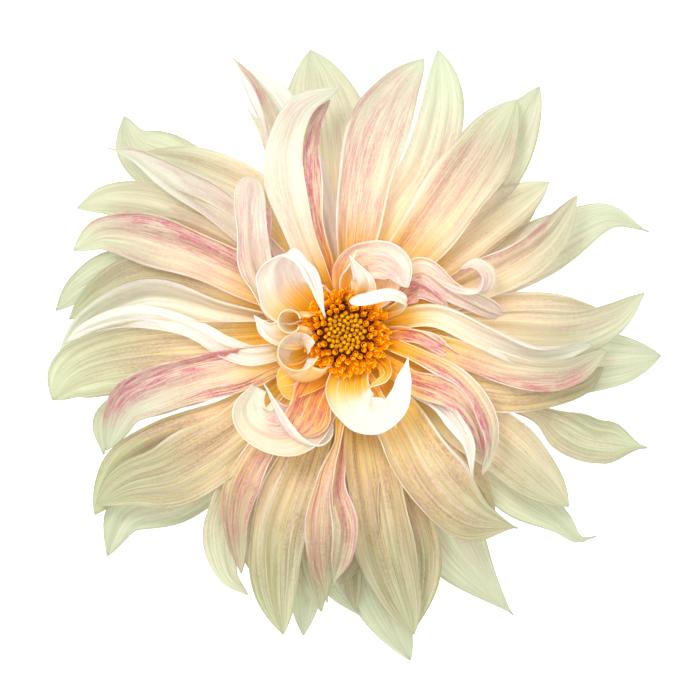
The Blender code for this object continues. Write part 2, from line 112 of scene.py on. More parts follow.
class Tint(Enum):
    """How a petal is coloured: leaf green, tan warmth and overall paleness, from 0 to 1."""

    PALE = (0.80, 0.05, 0.75)
    GREEN = (0.85, 0.55, 0.25)
    CREAM = (0.45, 0.35, 0.65)
    TAN = (0.50, 0.95, 0.15)
    SAND = (0.50, 0.65, 0.40)
    BLUSH = (0.20, 0.35, 0.75)
    ROSE = (0.6, 0.1, 0.75)
    MILK = (0.15, 0.30, 0.85)
    WHITE = (0.05, 0.05, 1.00)


@dataclass(frozen=True)
class Petal:
    """One ray petal, in millimetres and degrees.

    Attributes:
        name: where the petal stands on the bloom.
        row: its row, which sets how finely its blade is cut.
        width: the blade's greatest width, measured round its cup.
        path: points of the midrib from root to tip.
        roll: turns of the blade about its midrib, evenly spaced from root to tip.
        cup: how far each side bends up, evenly spaced from root to tip.
        outline: its width profile.
        tint: its colouring.
        pink: magenta streaking of the left and right half, from 0 to 1.
        span: where along the blade the streaking starts and ends, in shares.
        honey_shade: how honey-coloured its upper side is, partly its warm tone and partly painted
            shade in its hollow, from 0 to 1.
        lean: degrees by which the left side bends up more than the right.
        rim: degrees by which the last fifth of each side turns up further.
        pleat: height of the lengthwise pleats.
        ruffle: height of the waves along the margins.
        crease: depth of the fold at the midrib.
    """

    name: str
    row: Row
    width: float
    path: tuple
    roll: tuple = (0, 0, 0)
    cup: tuple = (60, 25, 20)
    outline: Outline = Outline.BROAD
    tint: Tint = Tint.CREAM
    pink: tuple = (0.15, 0.15)
    span: tuple = (0.0, 1.0)
    honey_shade: float = 0.0
    lean: float = 0.0
    rim: float = 25.0
    pleat: float = 0.55
    ruffle: float = 0.8
    crease: float = 0.5


PETALS = (
    Petal("n_back", Row.BACK, 30, ((-2, 12, 16), (-4, 40, 18), (-7, 72, 12), (-13, 100.5, 0.45)),
          tint=Tint.PALE),
    Petal("nnw_thin", Row.BACK, 9, ((-4, 12, 18), (-16, 45, 25), (-25, 72, 25), (-31, 86, 21),
          (-40, 96.5, 15)), roll=(-20, -20, -20), cup=(60, 50, 30), outline=Outline.LANCE,
          tint=Tint.BLUSH, pink=(0.5, 0.8), lean=25, rim=60),
    Petal("nnw_thin_lap", Row.BACK, 17, ((-3, 13, 17.5), (-13, 48, 22), (-20, 68, 21),
          (-27, 82, 17), (-38.5, 95.5, 12)), cup=(60, 20, 20), tint=Tint.WHITE),
    Petal("nnw_small", Row.BACK, 8, ((-5, 12, 16), (-18, 48, 18), (-27, 67, 14), (-35, 79, 9)),
          cup=(60, 20, 20), outline=Outline.LANCE, tint=Tint.PALE),
    Petal("nw_back", Row.BACK, 24, ((-9, 11, 16), (-40, 42, 19), (-62, 58, 13), (-75, 66, 6),
          (-79, 77, 0.45)), tint=Tint.PALE),
    Petal("w_back", Row.BACK, 17, ((-13, 4, 16), (-48, 19, 21), (-76, 22, 17), (-94, 16, 9),
          (-103, 8, 4)), roll=(-15, -15, -10), tint=Tint.PALE),
    Petal("wsw_back", Row.BACK, 13, ((-13, -4, 17), (-50, -18, 20), (-75, -24, 16), (-86, -32, 10),
          (-86, -43, 5)), tint=Tint.PALE),
    Petal("sw_back", Row.BACK, 20, ((-10, -10, 16), (-38, -40, 18), (-60, -57, 12), (-78, -64, 5),
          (-85, -79, 0.45)), roll=(-15, -15, -10), tint=Tint.PALE),
    Petal("ssw_back", Row.BACK, 13, ((-7, -12, 16), (-22, -45, 19), (-33, -72, 14), (-31, -88, 6)),
          tint=Tint.GREEN),
    Petal("s_back_left", Row.BACK, 17, ((-3, -13, 15), (-9, -50, 17), (-14, -82, 10),
          (-15.5, -107, 2)), tint=Tint.PALE),
    Petal("s_back_right", Row.BACK, 22, ((1, -13, 15), (4, -50, 17), (10, -88, 8),
          (22.5, -116, 0.45)), tint=Tint.PALE),
    Petal("sse_back", Row.BACK, 25, ((6, -12, 15), (22.5, -48, 18), (37, -74, 11), (47, -87, 4),
          (59, -100, 0.7)), outline=Outline.KEEN, tint=Tint.PALE, pleat=0.5),
    Petal("se_back", Row.BACK, 19, ((9, -9, 15), (36, -34, 17), (58, -54, 10), (75, -66.5, 4),
          (82, -73, 1), (88.5, -72, 0.45)), outline=Outline.KEEN, tint=Tint.PALE, pink=(0.1, 0.15)),
    Petal("ese_back", Row.BACK, 17, ((12, -6, 17), (48, -20, 22), (70, -29, 18), (84, -37, 12),
          (93, -38.5, 9), (106, -40.5, 5)), roll=(0, 20, 50, 40, 0, 0), outline=Outline.TWISTED,
          tint=Tint.GREEN, pink=(0.2, 0.1)),
    Petal("e_back", Row.BACK, 26, ((13, -2, 15), (50, -8, 19), (85, -10, 14), (111, -8, 5)),
          tint=Tint.PALE),
    Petal("ene_back", Row.BACK, 19, ((13, 4, 16), (45, 17, 20), (74, 33, 13), (92, 41, 6),
          (107, 36, 0.45)), outline=Outline.KEEN, tint=Tint.ROSE),
    Petal("ne_back", Row.BACK, 21, ((9, 10, 16), (36, 40, 20), (55, 64, 16), (68, 87, 8)),
          tint=Tint.PALE),
    Petal("n_broad", Row.MIDDLE, 22, ((2, 13, 20), (4, 38, 28), (9, 65, 28), (17.5, 84, 23),
          (27, 96, 19)), cup=(70, 25, 25), tint=Tint.ROSE, pink=(0.5, 0.55), pleat=0.7,
          span=(0.15, 0.9)),
    Petal("nne", Row.MIDDLE, 19, ((5, 13, 19), (16, 40, 24), (27, 57, 24), (33, 76, 21),
          (33.5, 90, 17), (32, 99.5, 14)), tint=Tint.ROSE, pink=(0.35, 0.2), pleat=0.6,
          span=(0.1, 0.7)),
    Petal("ne_broad", Row.MIDDLE, 23.5, ((8, 11, 21), (28, 35, 29), (44, 57, 27), (52, 70, 22),
          (59.5, 82, 16)), cup=(60, 35, 25), pink=(0.3, 0.45), pleat=0.8, span=(0.1, 0.85)),
    Petal("ene", Row.MIDDLE, 18, ((11, 9, 19), (35, 28, 25), (54, 42, 21), (71, 53, 14))),
    Petal("ene_small", Row.MIDDLE, 12, ((11, 8, 18), (38, 26, 22), (56, 37, 18), (67, 45, 12))),
    Petal("ene_striped", Row.MIDDLE, 17, ((12, 6, 22), (35, 14, 30), (55, 23, 30), (70, 33, 26),
          (80.5, 48, 20)), roll=(20, 20, 20), pink=(0.1, 0.55), rim=45),
    Petal("e_upper", Row.MIDDLE, 13, ((13, 3, 19), (45, 7, 25), (68, 8, 22), (89, 8, 15))),
    Petal("e_main", Row.MIDDLE, 17, ((14, 1, 20), (50, 1, 28), (76, 0, 26), (93, 5, 20),
          (104.5, 14, 14)), roll=(15, 15, 15), pink=(0.1, 0.15)),
    Petal("ese_tan", Row.MIDDLE, 16, ((13, -5, 21), (40, -17, 29), (60, -20, 27), (82, -17, 20),
          (90, -12, 17)), tint=Tint.TAN),
    Petal("se_striped", Row.MIDDLE, 22, ((10, -9, 19), (42, -30, 25), (61, -45, 21), (78, -61, 12)),
          tint=Tint.SAND, pink=(0.1, 0.15), pleat=0.5),
    Petal("sse_narrow", Row.MIDDLE, 12, ((8, -11, 19), (32, -37, 25), (44, -52, 21), (52, -64, 15)),
          tint=Tint.TAN),
    Petal("sse_broad", Row.MIDDLE, 26, ((6, -12, 22), (19, -34, 32), (29, -52, 31), (42, -64, 25),
          (60, -68.5, 15)), roll=(0, -20, -25, -10), cup=(60, 40, 30), outline=Outline.KEEN,
          tint=Tint.TAN, pink=(0.15, 0.1), rim=40, pleat=0.5),
    Petal("s_broad", Row.MIDDLE, 23, ((3, -14, 20), (9, -48, 27), (14, -76, 22), (23.5, -106, 12)),
          tint=Tint.TAN, pleat=0.8),
    Petal("s_broad_lap", Row.MIDDLE, 18, ((4, -13, 18), (16, -48, 23), (25, -76, 18),
          (24, -104, 9)), tint=Tint.TAN),
    Petal("s_middle", Row.MIDDLE, 18, ((0, -14, 19), (3, -48, 25), (3, -70, 21), (-2, -88, 14)),
          tint=Tint.TAN),
    Petal("ssw_broad", Row.MIDDLE, 21, ((-5, -13, 21), (-15, -42, 29), (-24, -68, 26),
          (-25, -88, 20), (-22.5, -106, 13)), tint=Tint.TAN, pleat=0.8, pink=(0.1, 0.1)),
    Petal("ssw_green", Row.MIDDLE, 15, ((-3, -14, 19), (-10, -50, 24), (-13, -76, 20),
          (-9, -98, 12)), tint=Tint.GREEN),
    Petal("s_small", Row.MIDDLE, 11, ((-1, -13, 17), (0, -50, 20), (1, -78, 16), (3, -98, 9)),
          tint=Tint.TAN),
    Petal("s_crescent", Row.MIDDLE, 10, ((-2, -13, 16), (-5, -55, 18), (-6, -86, 12), (5, -100, 6)),
          tint=Tint.PALE),
    Petal("sw_folded_back", Row.MIDDLE, 14, ((-8, -12, 19), (-32, -42, 26), (-43.5, -66, 23),
          (-42, -84, 17), (-35, -92, 13)), pink=(0.1, 0.3)),
    Petal("sw_folded_front", Row.MIDDLE, 12, ((-8, -11, 22), (-27, -37, 32), (-36, -53, 31),
          (-38.5, -66, 28), (-37, -84, 20)), roll=(25, 25, 25), tint=Tint.TAN, pink=(0.6, 0.6),
          rim=50),
    Petal("wsw_upper", Row.MIDDLE, 21, ((-11, -8, 19), (-40, -31, 26), (-62, -39, 24),
          (-76, -46, 18), (-83, -54, 13), (-89, -64, 9)), roll=(-15, -15, -15), tint=Tint.TAN,
          pink=(0.2, 0.3)),
    Petal("wsw_lower", Row.MIDDLE, 24, ((-10, -10, 20), (-38, -35, 28), (-60, -48.5, 25.5),
          (-76, -53, 20.5), (-88, -60, 15)), roll=(-10, -10, -10), tint=Tint.TAN),
    Petal("w_pink", Row.MIDDLE, 19, ((-13, -4.5, 22), (-40, -12.3, 31), (-52, -14.8, 31.5),
          (-66, -19.6, 30), (-77, -26, 25), (-84.5, -41, 17)), roll=(-20, -20, -20),
          cup=(60, 35, 30), tint=Tint.ROSE, pink=(1.0, 0.25), rim=40, lean=-15, span=(0.3, 0.85)),
    Petal("w_broad", Row.MIDDLE, 28, ((-14, -2, 20), (-42, -5, 27), (-68, -7, 25), (-86, -10, 19),
          (-97, -15, 13), (-104, -23.5, 9)), roll=(-15, -15, -10), outline=Outline.STRAP,
          tint=Tint.SAND, pink=(0.05, 0.1)),
    Petal("w_white_rim", Row.MIDDLE, 16, ((-14, 1, 19), (-42, 6, 26), (-68, 12, 24), (-88, 5, 17),
          (-101, -6, 10)), roll=(-25, -25, -25), tint=Tint.MILK, pink=(0.1, 0.3)),
    Petal("w_tan", Row.MIDDLE, 16, ((-14, 3, 18), (-42, 14, 25), (-70, 20, 21), (-86, 14, 14),
          (-98, 5, 8)), roll=(-20, -20, -20), tint=Tint.SAND),
    Petal("wnw_striped", Row.MIDDLE, 19, ((-13, 6, 22), (-40, 22, 31), (-62, 31, 29), (-84, 35, 23),
          (-96, 29, 17)), roll=(-15, -15, -15), pink=(0.9, 0.35), span=(0.12, 0.85)),
    Petal("wnw_tan", Row.MIDDLE, 17, ((-12, 8, 19), (-44, 34, 26), (-66, 45, 24), (-82, 47, 18),
          (-95, 44, 12)), roll=(-15, -15, -15)),
    Petal("wnw_tan_low", Row.MIDDLE, 12, ((-12, 8, 20), (-38, 27, 28), (-58, 37, 26),
          (-78, 41, 20))),
    Petal("nw_thread", Row.MIDDLE, 14, ((-10, 10, 21), (-36, 37, 30), (-56, 51, 28), (-72, 61, 24),
          (-84, 65, 18)), cup=(60, 40, 30), outline=Outline.KEEN, tint=Tint.MILK, pink=(0.4, 0.15),
          rim=30),
    Petal("nw_cream", Row.MIDDLE, 16, ((-8, 11, 19), (-30, 46, 27), (-50, 57, 25), (-72, 63, 18))),
    Petal("nnw_s_shaped", Row.INNER, 14, ((-7, 13, 24), (-17, 38, 37), (-21.5, 60, 40),
          (-16, 77, 36), (-3, 85, 30)), roll=(0, -10, -10), cup=(60, 40, 40), tint=Tint.MILK,
          pink=(0.1, 0.3), lean=20),
    Petal("nnw_s_inside", Row.INNER, 10, ((-4, 14, 23), (-12, 38, 35), (-14, 58, 38), (-12, 72, 34),
          (-6, 81, 30)), cup=(60, 40, 40), tint=Tint.BLUSH, pink=(0.9, 0.9)),
    Petal("nw_upright", Row.INNER, 14, ((-14, 2, 20), (-23, 6, 28), (-32, 22, 37), (-34, 40, 42),
          (-33, 54, 39)), cup=(60, 30, 10), outline=Outline.BLUNT, tint=Tint.MILK, pink=(0.4, 0.5)),
    Petal("nw_upright_inside", Row.INNER, 8, ((-14, 6, 21), (-25.5, 15, 27), (-29.5, 27, 34),
          (-26, 44, 39)), cup=(60, 40, 20), outline=Outline.LANCE, tint=Tint.BLUSH,
          pink=(1.0, 1.0)),
    Petal("ene_pink_arch", Row.INNER, 9, ((13, 12, 26), (25, 22, 38), (37, 15, 38), (48, 9, 34),
          (57, 5, 29)), cup=(60, 40, 20), outline=Outline.STRAP, tint=Tint.MILK, pink=(0.4, 0.3)),
    Petal("ene_scroll", Row.INNER, 9, ((12, 11, 25), (28, 19, 33), (40, 15.5, 38), (47, 15, 42),
          (48.5, 20, 44), (44, 23.5, 44), (39, 22, 42)), roll=(0, 40, 80, 80), cup=(60, 40, 20),
          outline=Outline.STRAP, tint=Tint.MILK, pink=(0.15, 0.4)),
    Petal("e_red_fold", Row.INNER, 10.5, ((13, 9, 25), (24, 15.5, 38), (35.5, 9, 38)),
          cup=(60, 40, 20), outline=Outline.LANCE, tint=Tint.MILK, pink=(1.0, 1.0)),
    Petal("e_long_white", Row.INNER, 12, ((14, 4, 27), (30, 7, 38), (48, -1, 38), (66, -7, 33),
          (85.5, -4, 28)), roll=(20, 20, 20), cup=(60, 40, 30), outline=Outline.STRAP,
          tint=Tint.MILK, pink=(0.05, 0.25), span=(0.4, 1.0)),
    Petal("e_pink_fold", Row.INNER, 7, ((14, 1, 26), (24, -1, 34), (34, -6, 34), (46, -13, 30)),
          cup=(60, 40, 20), outline=Outline.LANCE, tint=Tint.MILK, pink=(1.0, 0.9)),
    Petal("ese_striped", Row.INNER, 13, ((14, -1, 25), (35, -6, 34), (56, -13, 33), (76, -14, 28),
          (90.5, -6, 23)), cup=(60, 40, 30), outline=Outline.STRAP, pink=(0.8, 0.15),
          span=(0.4, 0.9)),
    Petal("se_s_shaped", Row.INNER, 7.5, ((13, -2, 27), (25, -8, 36), (36, -13.5, 39),
          (44, -21.5, 39), (49, -31, 37), (49.5, -40, 34), (47, -49.5, 30)), roll=(0, -10, -20),
          cup=(60, 50, 45), outline=Outline.STRAP, tint=Tint.BLUSH, pink=(1.0, 0.1),
          span=(0.3, 0.9)),
    Petal("se_pink", Row.INNER, 8.5, ((12, -9, 25), (22, -16.5, 33), (29, -19, 36), (35.5, -22, 37),
          (41, -26.5, 36), (45, -33, 33), (47.8, -45, 29)), cup=(60, 30, 20), outline=Outline.LANCE,
          tint=Tint.BLUSH, pink=(1.0, 1.0), span=(0.3, 0.95)),
    Petal("se_white_lip", Row.INNER, 8, ((12, -13, 22), (33, -25, 34), (41.5, -37, 38),
          (43.5, -50, 35)), cup=(60, 40, 30), outline=Outline.LANCE, tint=Tint.WHITE),
    Petal("s_twisted", Row.INNER, 11, ((-1, -14, 24), (-3, -36, 34), (-6, -46, 36), (-8.5, -60, 37),
          (-9, -74, 34.5), (-7, -94, 25)), cup=(60, 60, 60, 50), outline=Outline.WAIST,
          tint=Tint.TAN, pink=(0.55, 0.35), rim=40, span=(0.35, 0.9)),
    Petal("s_twisted_flap", Row.INNER, 9, ((1, -14, 22), (-2, -42, 33), (-3.5, -55, 37),
          (-0.8, -67, 39), (-1.5, -76, 37.5), (-5, -88, 30)), cup=(60, 40, 20),
          outline=Outline.WAIST, tint=Tint.SAND, pink=(0.4, 0.8), rim=30, span=(0.35, 0.9)),
    Petal("s_tail", Row.INNER, 7, ((3, -13, 24), (12, -28, 33), (14.5, -41, 31)), cup=(60, 40, 30),
          outline=Outline.STRAP, tint=Tint.BLUSH),
    Petal("sw_peach", Row.INNER, 14, ((-8, -12, 25), (-15, -16, 31), (-24, -18.5, 33)),
          cup=(60, 50, 40), outline=Outline.BLUNT),
    Petal("w_white_lip", Row.INNER, 7.5, ((-13, -3, 22), (-32, -8, 31), (-43, -5, 32.5),
          (-51, -0.3, 33), (-61, 4.1, 33), (-71, 5.8, 31), (-81, 4.5, 27), (-92, 1, 21.5),
          (-99, -3.5, 16)), cup=(40, 30, 20), outline=Outline.STRAP, tint=Tint.WHITE,
          pink=(0.1, 0.1)),
    Petal("w_pink_lip", Row.INNER, 4.5, ((-12, -7, 22), (-36, -18.6, 32), (-50, -21.8, 33.8),
          (-60, -25.5, 33.3), (-68, -29, 31)), cup=(40, 30, 20), outline=Outline.LANCE,
          tint=Tint.BLUSH, pink=(0.8, 0.8)),
    Petal("nw_hood", Row.CURL, 27, ((-13.5, 8, 27), (-19.5, 15, 34), (-21.5, 23, 43), (-18, 28, 51),
          (-12.8, 21, 54.5), (-7.5, 5.4, 46.5)), roll=(0, -5, -25, -40, -10, 30, 30),
          cup=(60, 60, 50, 30), outline=Outline.SPIKE, tint=Tint.WHITE, pink=(0.25, 0.2)),
    Petal("ne_hood_back", Row.CURL, 21, ((4, 11, 26), (6, 15, 33), (8.5, 19, 37), (11.5, 24, 39.5),
          (13.5, 28, 41)), cup=(50, 35, 25), outline=Outline.BLUNT, tint=Tint.MILK, pink=(0.6, 0.4),
          crease=0.0),
    Petal("ne_hood", Row.CURL, 15.5, ((4, 13, 27), (1.8, 19.8, 35), (5.2, 25.2, 41),
          (11.5, 25.9, 44.5), (17.8, 22.4, 46), (20.8, 15.5, 46.5)),
          roll=(0, -10, -30, -45, -50, -50), cup=(50, 40, 35, 30), outline=Outline.STRAP,
          tint=Tint.MILK, pink=(0.6, 0.5), rim=30, crease=0.0),
    Petal("ne_flap", Row.CURL, 8.5, ((4, 13.5, 34), (6, 16.5, 41), (4.2, 21.5, 46),
          (0.9, 26.4, 50)), cup=(30, 30, 30), outline=Outline.LANCE, tint=Tint.WHITE),
    Petal("ne_roll", Row.CURL, 6.5, ((13, 6, 26), (18, 9, 36), (20.2, 11.5, 43), (15, 13.6, 49),
          (8, 12.5, 50.5), (0.8, 10.8, 48.5)), cup=(50, 40, 30), outline=Outline.BLUNT,
          tint=Tint.WHITE, pink=(0.05, 0.1)),
    Petal("w_scroll", Row.CURL, 20, ((-13, 4, 27), (-20.5, 5, 34), (-23.8, 4.6, 45)),
          cup=(60, 150, 160), outline=Outline.TUBE, tint=Tint.WHITE, pink=(0.1, 0.1), honey_shade=0.75),
    Petal("w_boat", Row.CURL, 11, ((-14, 2, 27), (-20, -1, 33), (-27, -0.5, 38), (-32, 6, 41)),
          cup=(60, 70, 60, 50), outline=Outline.LANCE, tint=Tint.WHITE),
    Petal("w_funnel", Row.CURL, 34, ((-11, -8, 26), (-19, -12, 31), (-23, -9.5, 37),
          (-23.8, -7, 44)), cup=(60, 120, 165, 158), outline=Outline.TUBE, tint=Tint.WHITE,
          pink=(0.25, 0.35), span=(0.6, 1.0), honey_shade=0.7),
    Petal("sw_scroll", Row.CURL, 17, ((-8, -14, 26), (-11, -22, 32), (-14, -29, 36.5),
          (-17.5, -35, 39)), cup=(60, 50, 40), outline=Outline.BLUNT, pink=(1.0, 0.9),
          span=(0.35, 1.0)),
    Petal("sw_lobe", Row.CURL, 22.5, ((-7, -14, 24), (-11, -27, 30.5), (-17.5, -33.4, 37.5),
          (-25.8, -34.6, 43), (-32.6, -31, 45.2), (-34.6, -25.5, 46), (-31, -18.6, 46)),
          roll=(0, 0, -5, -16, -22, -22), cup=(60, 50, 50, 45), outline=Outline.SHELL,
          tint=Tint.MILK, pink=(0.75, 0.2), honey_shade=0.25, span=(0.3, 0.7), rim=45),
    Petal("sw_strip", Row.CURL, 7, ((-8, -13, 23), (-8.5, -26, 29), (-8.5, -35, 34),
          (-12, -38.8, 39.5), (-17, -37, 44), (-21.5, -31.5, 48), (-25.5, -23.5, 51),
          (-28.5, -17.5, 51)), roll=(0, 0, 10, 20, 20, 10), cup=(40, 40, 30), outline=Outline.STRAP,
          tint=Tint.WHITE, pink=(0.35, 0.1), span=(0.45, 0.9), crease=0.0),
    Petal("s_white_curl", Row.CURL, 18.5, ((3, -14, 27), (0.2, -22.7, 34), (7, -29.6, 41),
          (17, -26, 48), (21, -8.5, 52)), roll=(0, 0, 15, 45, 70, 80), cup=(60, 55, 45, 40),
          outline=Outline.CRESCENT, tint=Tint.WHITE, pink=(0.05, 0.05), ruffle=0.25),
    Petal("se_flap", Row.CURL, 5, ((11, -10, 27), (14, -14, 33), (8, -19, 36)), cup=(60, 30, 20),
          outline=Outline.STRAP, tint=Tint.BLUSH),
)


def blend(stations: tuple, place: float) -> float:
    """Read a value between evenly spaced stations.

    Args:
        stations: the values from root to tip.
        place: where to read, from 0 at the root to 1 at the tip.

    Returns:
        The value there, eased from one station to the next.
    """
    last = len(stations) - 1
    spot = min(max(place, 0.0), 1.0) * last
    index = min(int(spot), last - 1)
    share = smoothstep(index, index + 1, spot)
    return stations[index] * (1 - share) + stations[index + 1] * share


def smoothstep(low: float, high: float, value: float) -> float:
    """Ease from 0 at low to 1 at high.

    Args:
        low: the value that gives 0.
        high: the value that gives 1.
        value: the value to ease.

    Returns:
        A share from 0 to 1.
    """
    share = min(max((value - low) / (high - low), 0.0), 1.0)
    return share * share * (3 - 2 * share)


def width_share(outline: Outline, place: float) -> float:
    """Give a blade's width at a place along it.

    Args:
        outline: the blade's width profile.
        place: where to read, from 0 at the root to 1 at the tip.

    Returns:
        The width there as a share of the greatest width.
    """
    if len(outline.value) > 4:
        return blend(outline.value, place)
    claw, widest, fullness, point = outline.value
    if place < widest:
        return claw + (1 - claw) * math.sin(place / widest * math.pi / 2) ** 1.3
    beyond = min((place - widest) / (1 - widest), 1.0)
    return (1 - beyond ** fullness) ** point


def smooth_point(points: list, place: float) -> Vector:
    """Give a point on a smooth curve through some points.

    Args:
        points: the points, in order.
        place: where to read, from 0 at the first point to 1 at the last.

    Returns:
        The point there.
    """
    gaps = [(after - before).length for before, after in zip(points, points[1:])]
    distance = place * sum(gaps)
    index = 0
    while index < len(gaps) - 1 and distance > gaps[index]:
        distance -= gaps[index]
        index += 1
    share = min(1.0, distance / gaps[index])
    start, end = points[index], points[index + 1]
    before = points[index - 1] if index else start * 2 - end
    after = points[index + 2] if index + 2 < len(points) else end * 2 - start
    leave = (end - before) * (gaps[index] / ((end - start).length + (start - before).length))
    arrive = (after - start) * (gaps[index] / ((after - end).length + (end - start).length))
    square, cube = share * share, share ** 3
    return (start * (2 * cube - 3 * square + 1) + leave * (cube - 2 * square + share)
            + end * (3 * square - 2 * cube) + arrive * (cube - square))


def linear(red: int, green: int, blue: int) -> tuple:
    """Turn a screen colour into the linear one that shaders use.

    Args:
        red: red from 0 to 255.
        green: green from 0 to 255.
        blue: blue from 0 to 255.

    Returns:
        Red, green, blue and alpha, from 0 to 1.
    """
    shares = (value / 255 for value in (red, green, blue))
    return (*(v / 12.92 if v <= 0.04045 else ((v + 0.055) / 1.055) ** 2.4 for v in shares), 1.0)


@dataclass
class Midrib:
    """A petal's smooth midrib, begun inside the receptacle.

    Attributes:
        points: the midrib's points, root first.
        samples: how many steps it is cut into.
        root_drop: how far the root sinks for each millimetre that it is moved in.
        frames: a point, a tangent and the direction across for each step.
    """

    points: list
    samples: int = 120
    root_radius: float = 9.5
    root_drop: float = 0.45
    root_floor: float = 15.5
    root_top: float = 22.5
    frames: list = field(init=False)
    length: float = field(init=False)

    def __post_init__(self) -> None:
        """Move the root inside the receptacle and work out the frames."""
        points = [Vector(point) for point in self.points]
        reach = points[0].to_2d().length
        if reach > self.root_radius:
            root = points[0] * (self.root_radius / reach)
            height = points[0].z - self.root_drop * (reach - self.root_radius)
            root.z = min(max(height, self.root_floor), self.root_top)
            points[0] = root
        spots = [smooth_point(points, step / self.samples) for step in range(self.samples + 1)]
        self.length = sum((after - before).length for before, after in zip(spots, spots[1:]))
        spans = zip(spots[:1] + spots, spots[1:] + spots[-1:])
        tangents = [(after - before).normalized() for before, after in spans]
        across = Vector((0, 0, 1)).cross(tangents[0]).normalized()
        self.frames = [(spots[0], tangents[0], across)]
        for step in range(1, self.samples + 1):
            across = tangents[step - 1].rotation_difference(tangents[step]) @ across
            across = (across - tangents[step] * across.dot(tangents[step])).normalized()
            self.frames.append((spots[step], tangents[step], across))

    def at(self, place: float) -> tuple:
        """Read the midrib at a place.

        Args:
            place: from 0 at the root to 1 at the tip.

        Returns:
            The point, the tangent and the direction across the blade.
        """
        spot = place * self.samples
        index = min(int(spot), self.samples - 1)
        share = spot - index
        frames = zip(self.frames[index], self.frames[index + 1])
        point, tangent, across = (here.lerp(beyond, share) for here, beyond in frames)
        return point, tangent.normalized(), across.normalized()


@dataclass
class Blade:
    """The curved sheet of one petal.

    Attributes:
        petal: the petal's sizes.
        seed: the number that its small irregularities are drawn from.
        least_width: its width at the tip.
        least_bend_radius: the tightest bend across it.
        wobble_share: how much its width strays, as a share.
        wobble_pace: how quickly it strays from root to tip, in radians.
        rim_start: where its rim begins to turn up, as a share of the half width.
        crease_share: how wide the fold at the midrib is, as such a share.
        smooth_below: the half width under which pleats and ruffles shrink.
    """

    petal: Petal
    seed: int
    least_width: float = 0.5
    least_bend_radius: float = 0.9
    wobble_share: float = 0.025
    wobble_pace: float = 17.0
    rim_start: float = 0.72
    crease_share: float = 0.16
    smooth_below: float = 2.5
    midrib: Midrib = field(init=False)

    def __post_init__(self) -> None:
        """Work out the midrib and draw the irregularities."""
        self.midrib = Midrib(list(self.petal.path))
        draw = random.Random(self.seed)
        self.pleats = [(count, share, draw.uniform(0, math.tau))
                       for count, share in ((2.0, 0.9), (4.3, 0.7), (7.1, 0.35))]
        self.waves = [(draw.uniform(1.6, 3.2), draw.uniform(0, math.tau)) for _ in (0, 1)]
        self.wobble = [draw.uniform(0, math.tau) for _ in (0, 1)]

    def half_width(self, side: float, place: float) -> float:
        """Give the distance from midrib to margin, measured along the blade.

        Args:
            side: from -1 at the left margin to 1 at the right.
            place: from 0 at the root to 1 at the tip.

        Returns:
            The distance in millimetres.
        """
        half = self.petal.width * width_share(self.petal.outline, place) / 2
        phase = self.wobble[0 if side < 0 else 1]
        stray = math.sin(place * self.wobble_pace + phase) * smoothstep(0.1, 0.5, place)
        half *= 1 + self.wobble_share * stray
        return max(half, self.least_width / 2)

    def slope(self, side: float, place: float, half: float) -> float:
        """Give how steeply the section rises at a side.

        Args:
            side: from -1 at the left margin to 1 at the right.
            place: from 0 at the root to 1 at the tip.
            half: the distance from midrib to margin there.

        Returns:
            The angle from the flat, in radians, growing towards either margin.
        """
        cup = max(blend(self.petal.cup, place), 1.0)
        lean = self.petal.lean * math.sin(math.pi * min(place * 1.1, 1.0))
        cup += -lean if side > 0 else lean
        bend = min(math.radians(cup), half / self.least_bend_radius)
        rim = math.radians(self.petal.rim) * smoothstep(self.rim_start, 1.0, abs(side))
        rim *= math.sin(math.pi * min(max(place * 0.97, 0.0), 1.0))
        return bend * abs(side) + rim

    def relief(self, side: float, place: float) -> float:
        """Give the height of pleats, crease and ruffles over the plain section.

        Args:
            side: from -1 at the left margin to 1 at the right.
            place: from 0 at the root to 1 at the tip.

        Returns:
            The height in millimetres.
        """
        body = smoothstep(0.02, 0.3, place) * (1 - smoothstep(0.8, 1.0, place))
        height = -self.petal.crease * math.exp(-(side / self.crease_share) ** 2) * body
        for count, share, phase in self.pleats:
            pleat = share * math.cos(side * count * math.pi * 0.5 + phase)
            height += self.petal.pleat * pleat * body
        turns, phase = self.waves[0 if side < 0 else 1]
        ruffle = math.sin(math.tau * turns * place + phase) * smoothstep(0.35, 1.0, abs(side))
        return height + self.petal.ruffle * ruffle * smoothstep(0.15, 0.5, place) * (1 - place ** 6)

    def section(self, place: float) -> list:
        """Work out the points across the blade at a place.

        Args:
            place: from 0 at the root to 1 at the tip.

        Returns:
            The points from the left margin to the right, in millimetres.
        """
        centre, tangent, across = self.midrib.at(place)
        across = Quaternion(tangent, math.radians(blend(self.petal.roll, place))) @ across
        up = tangent.cross(across)
        columns = self.petal.row.columns
        points = {}
        for sign in (-1, 1):
            out, rise = 0.0, 0.0
            for column in range(columns // 2 + 1):
                side = sign * column * 2 / columns
                half = self.half_width(side, place)
                angle = self.slope(side, place, half)
                if column:
                    mean = (angle + before) / 2
                    out += math.cos(mean) * half * 2 / columns
                    rise += math.sin(mean) * half * 2 / columns
                before = angle
                normal = up * math.cos(angle) - across * (sign * math.sin(angle))
                thin = min(1.0, half / self.smooth_below)
                points[sign * column] = (centre + across * (sign * out) + up * rise
                                         + normal * (self.relief(side, place) * thin))
        return [points[column] for column in range(-columns // 2, columns // 2 + 1)]


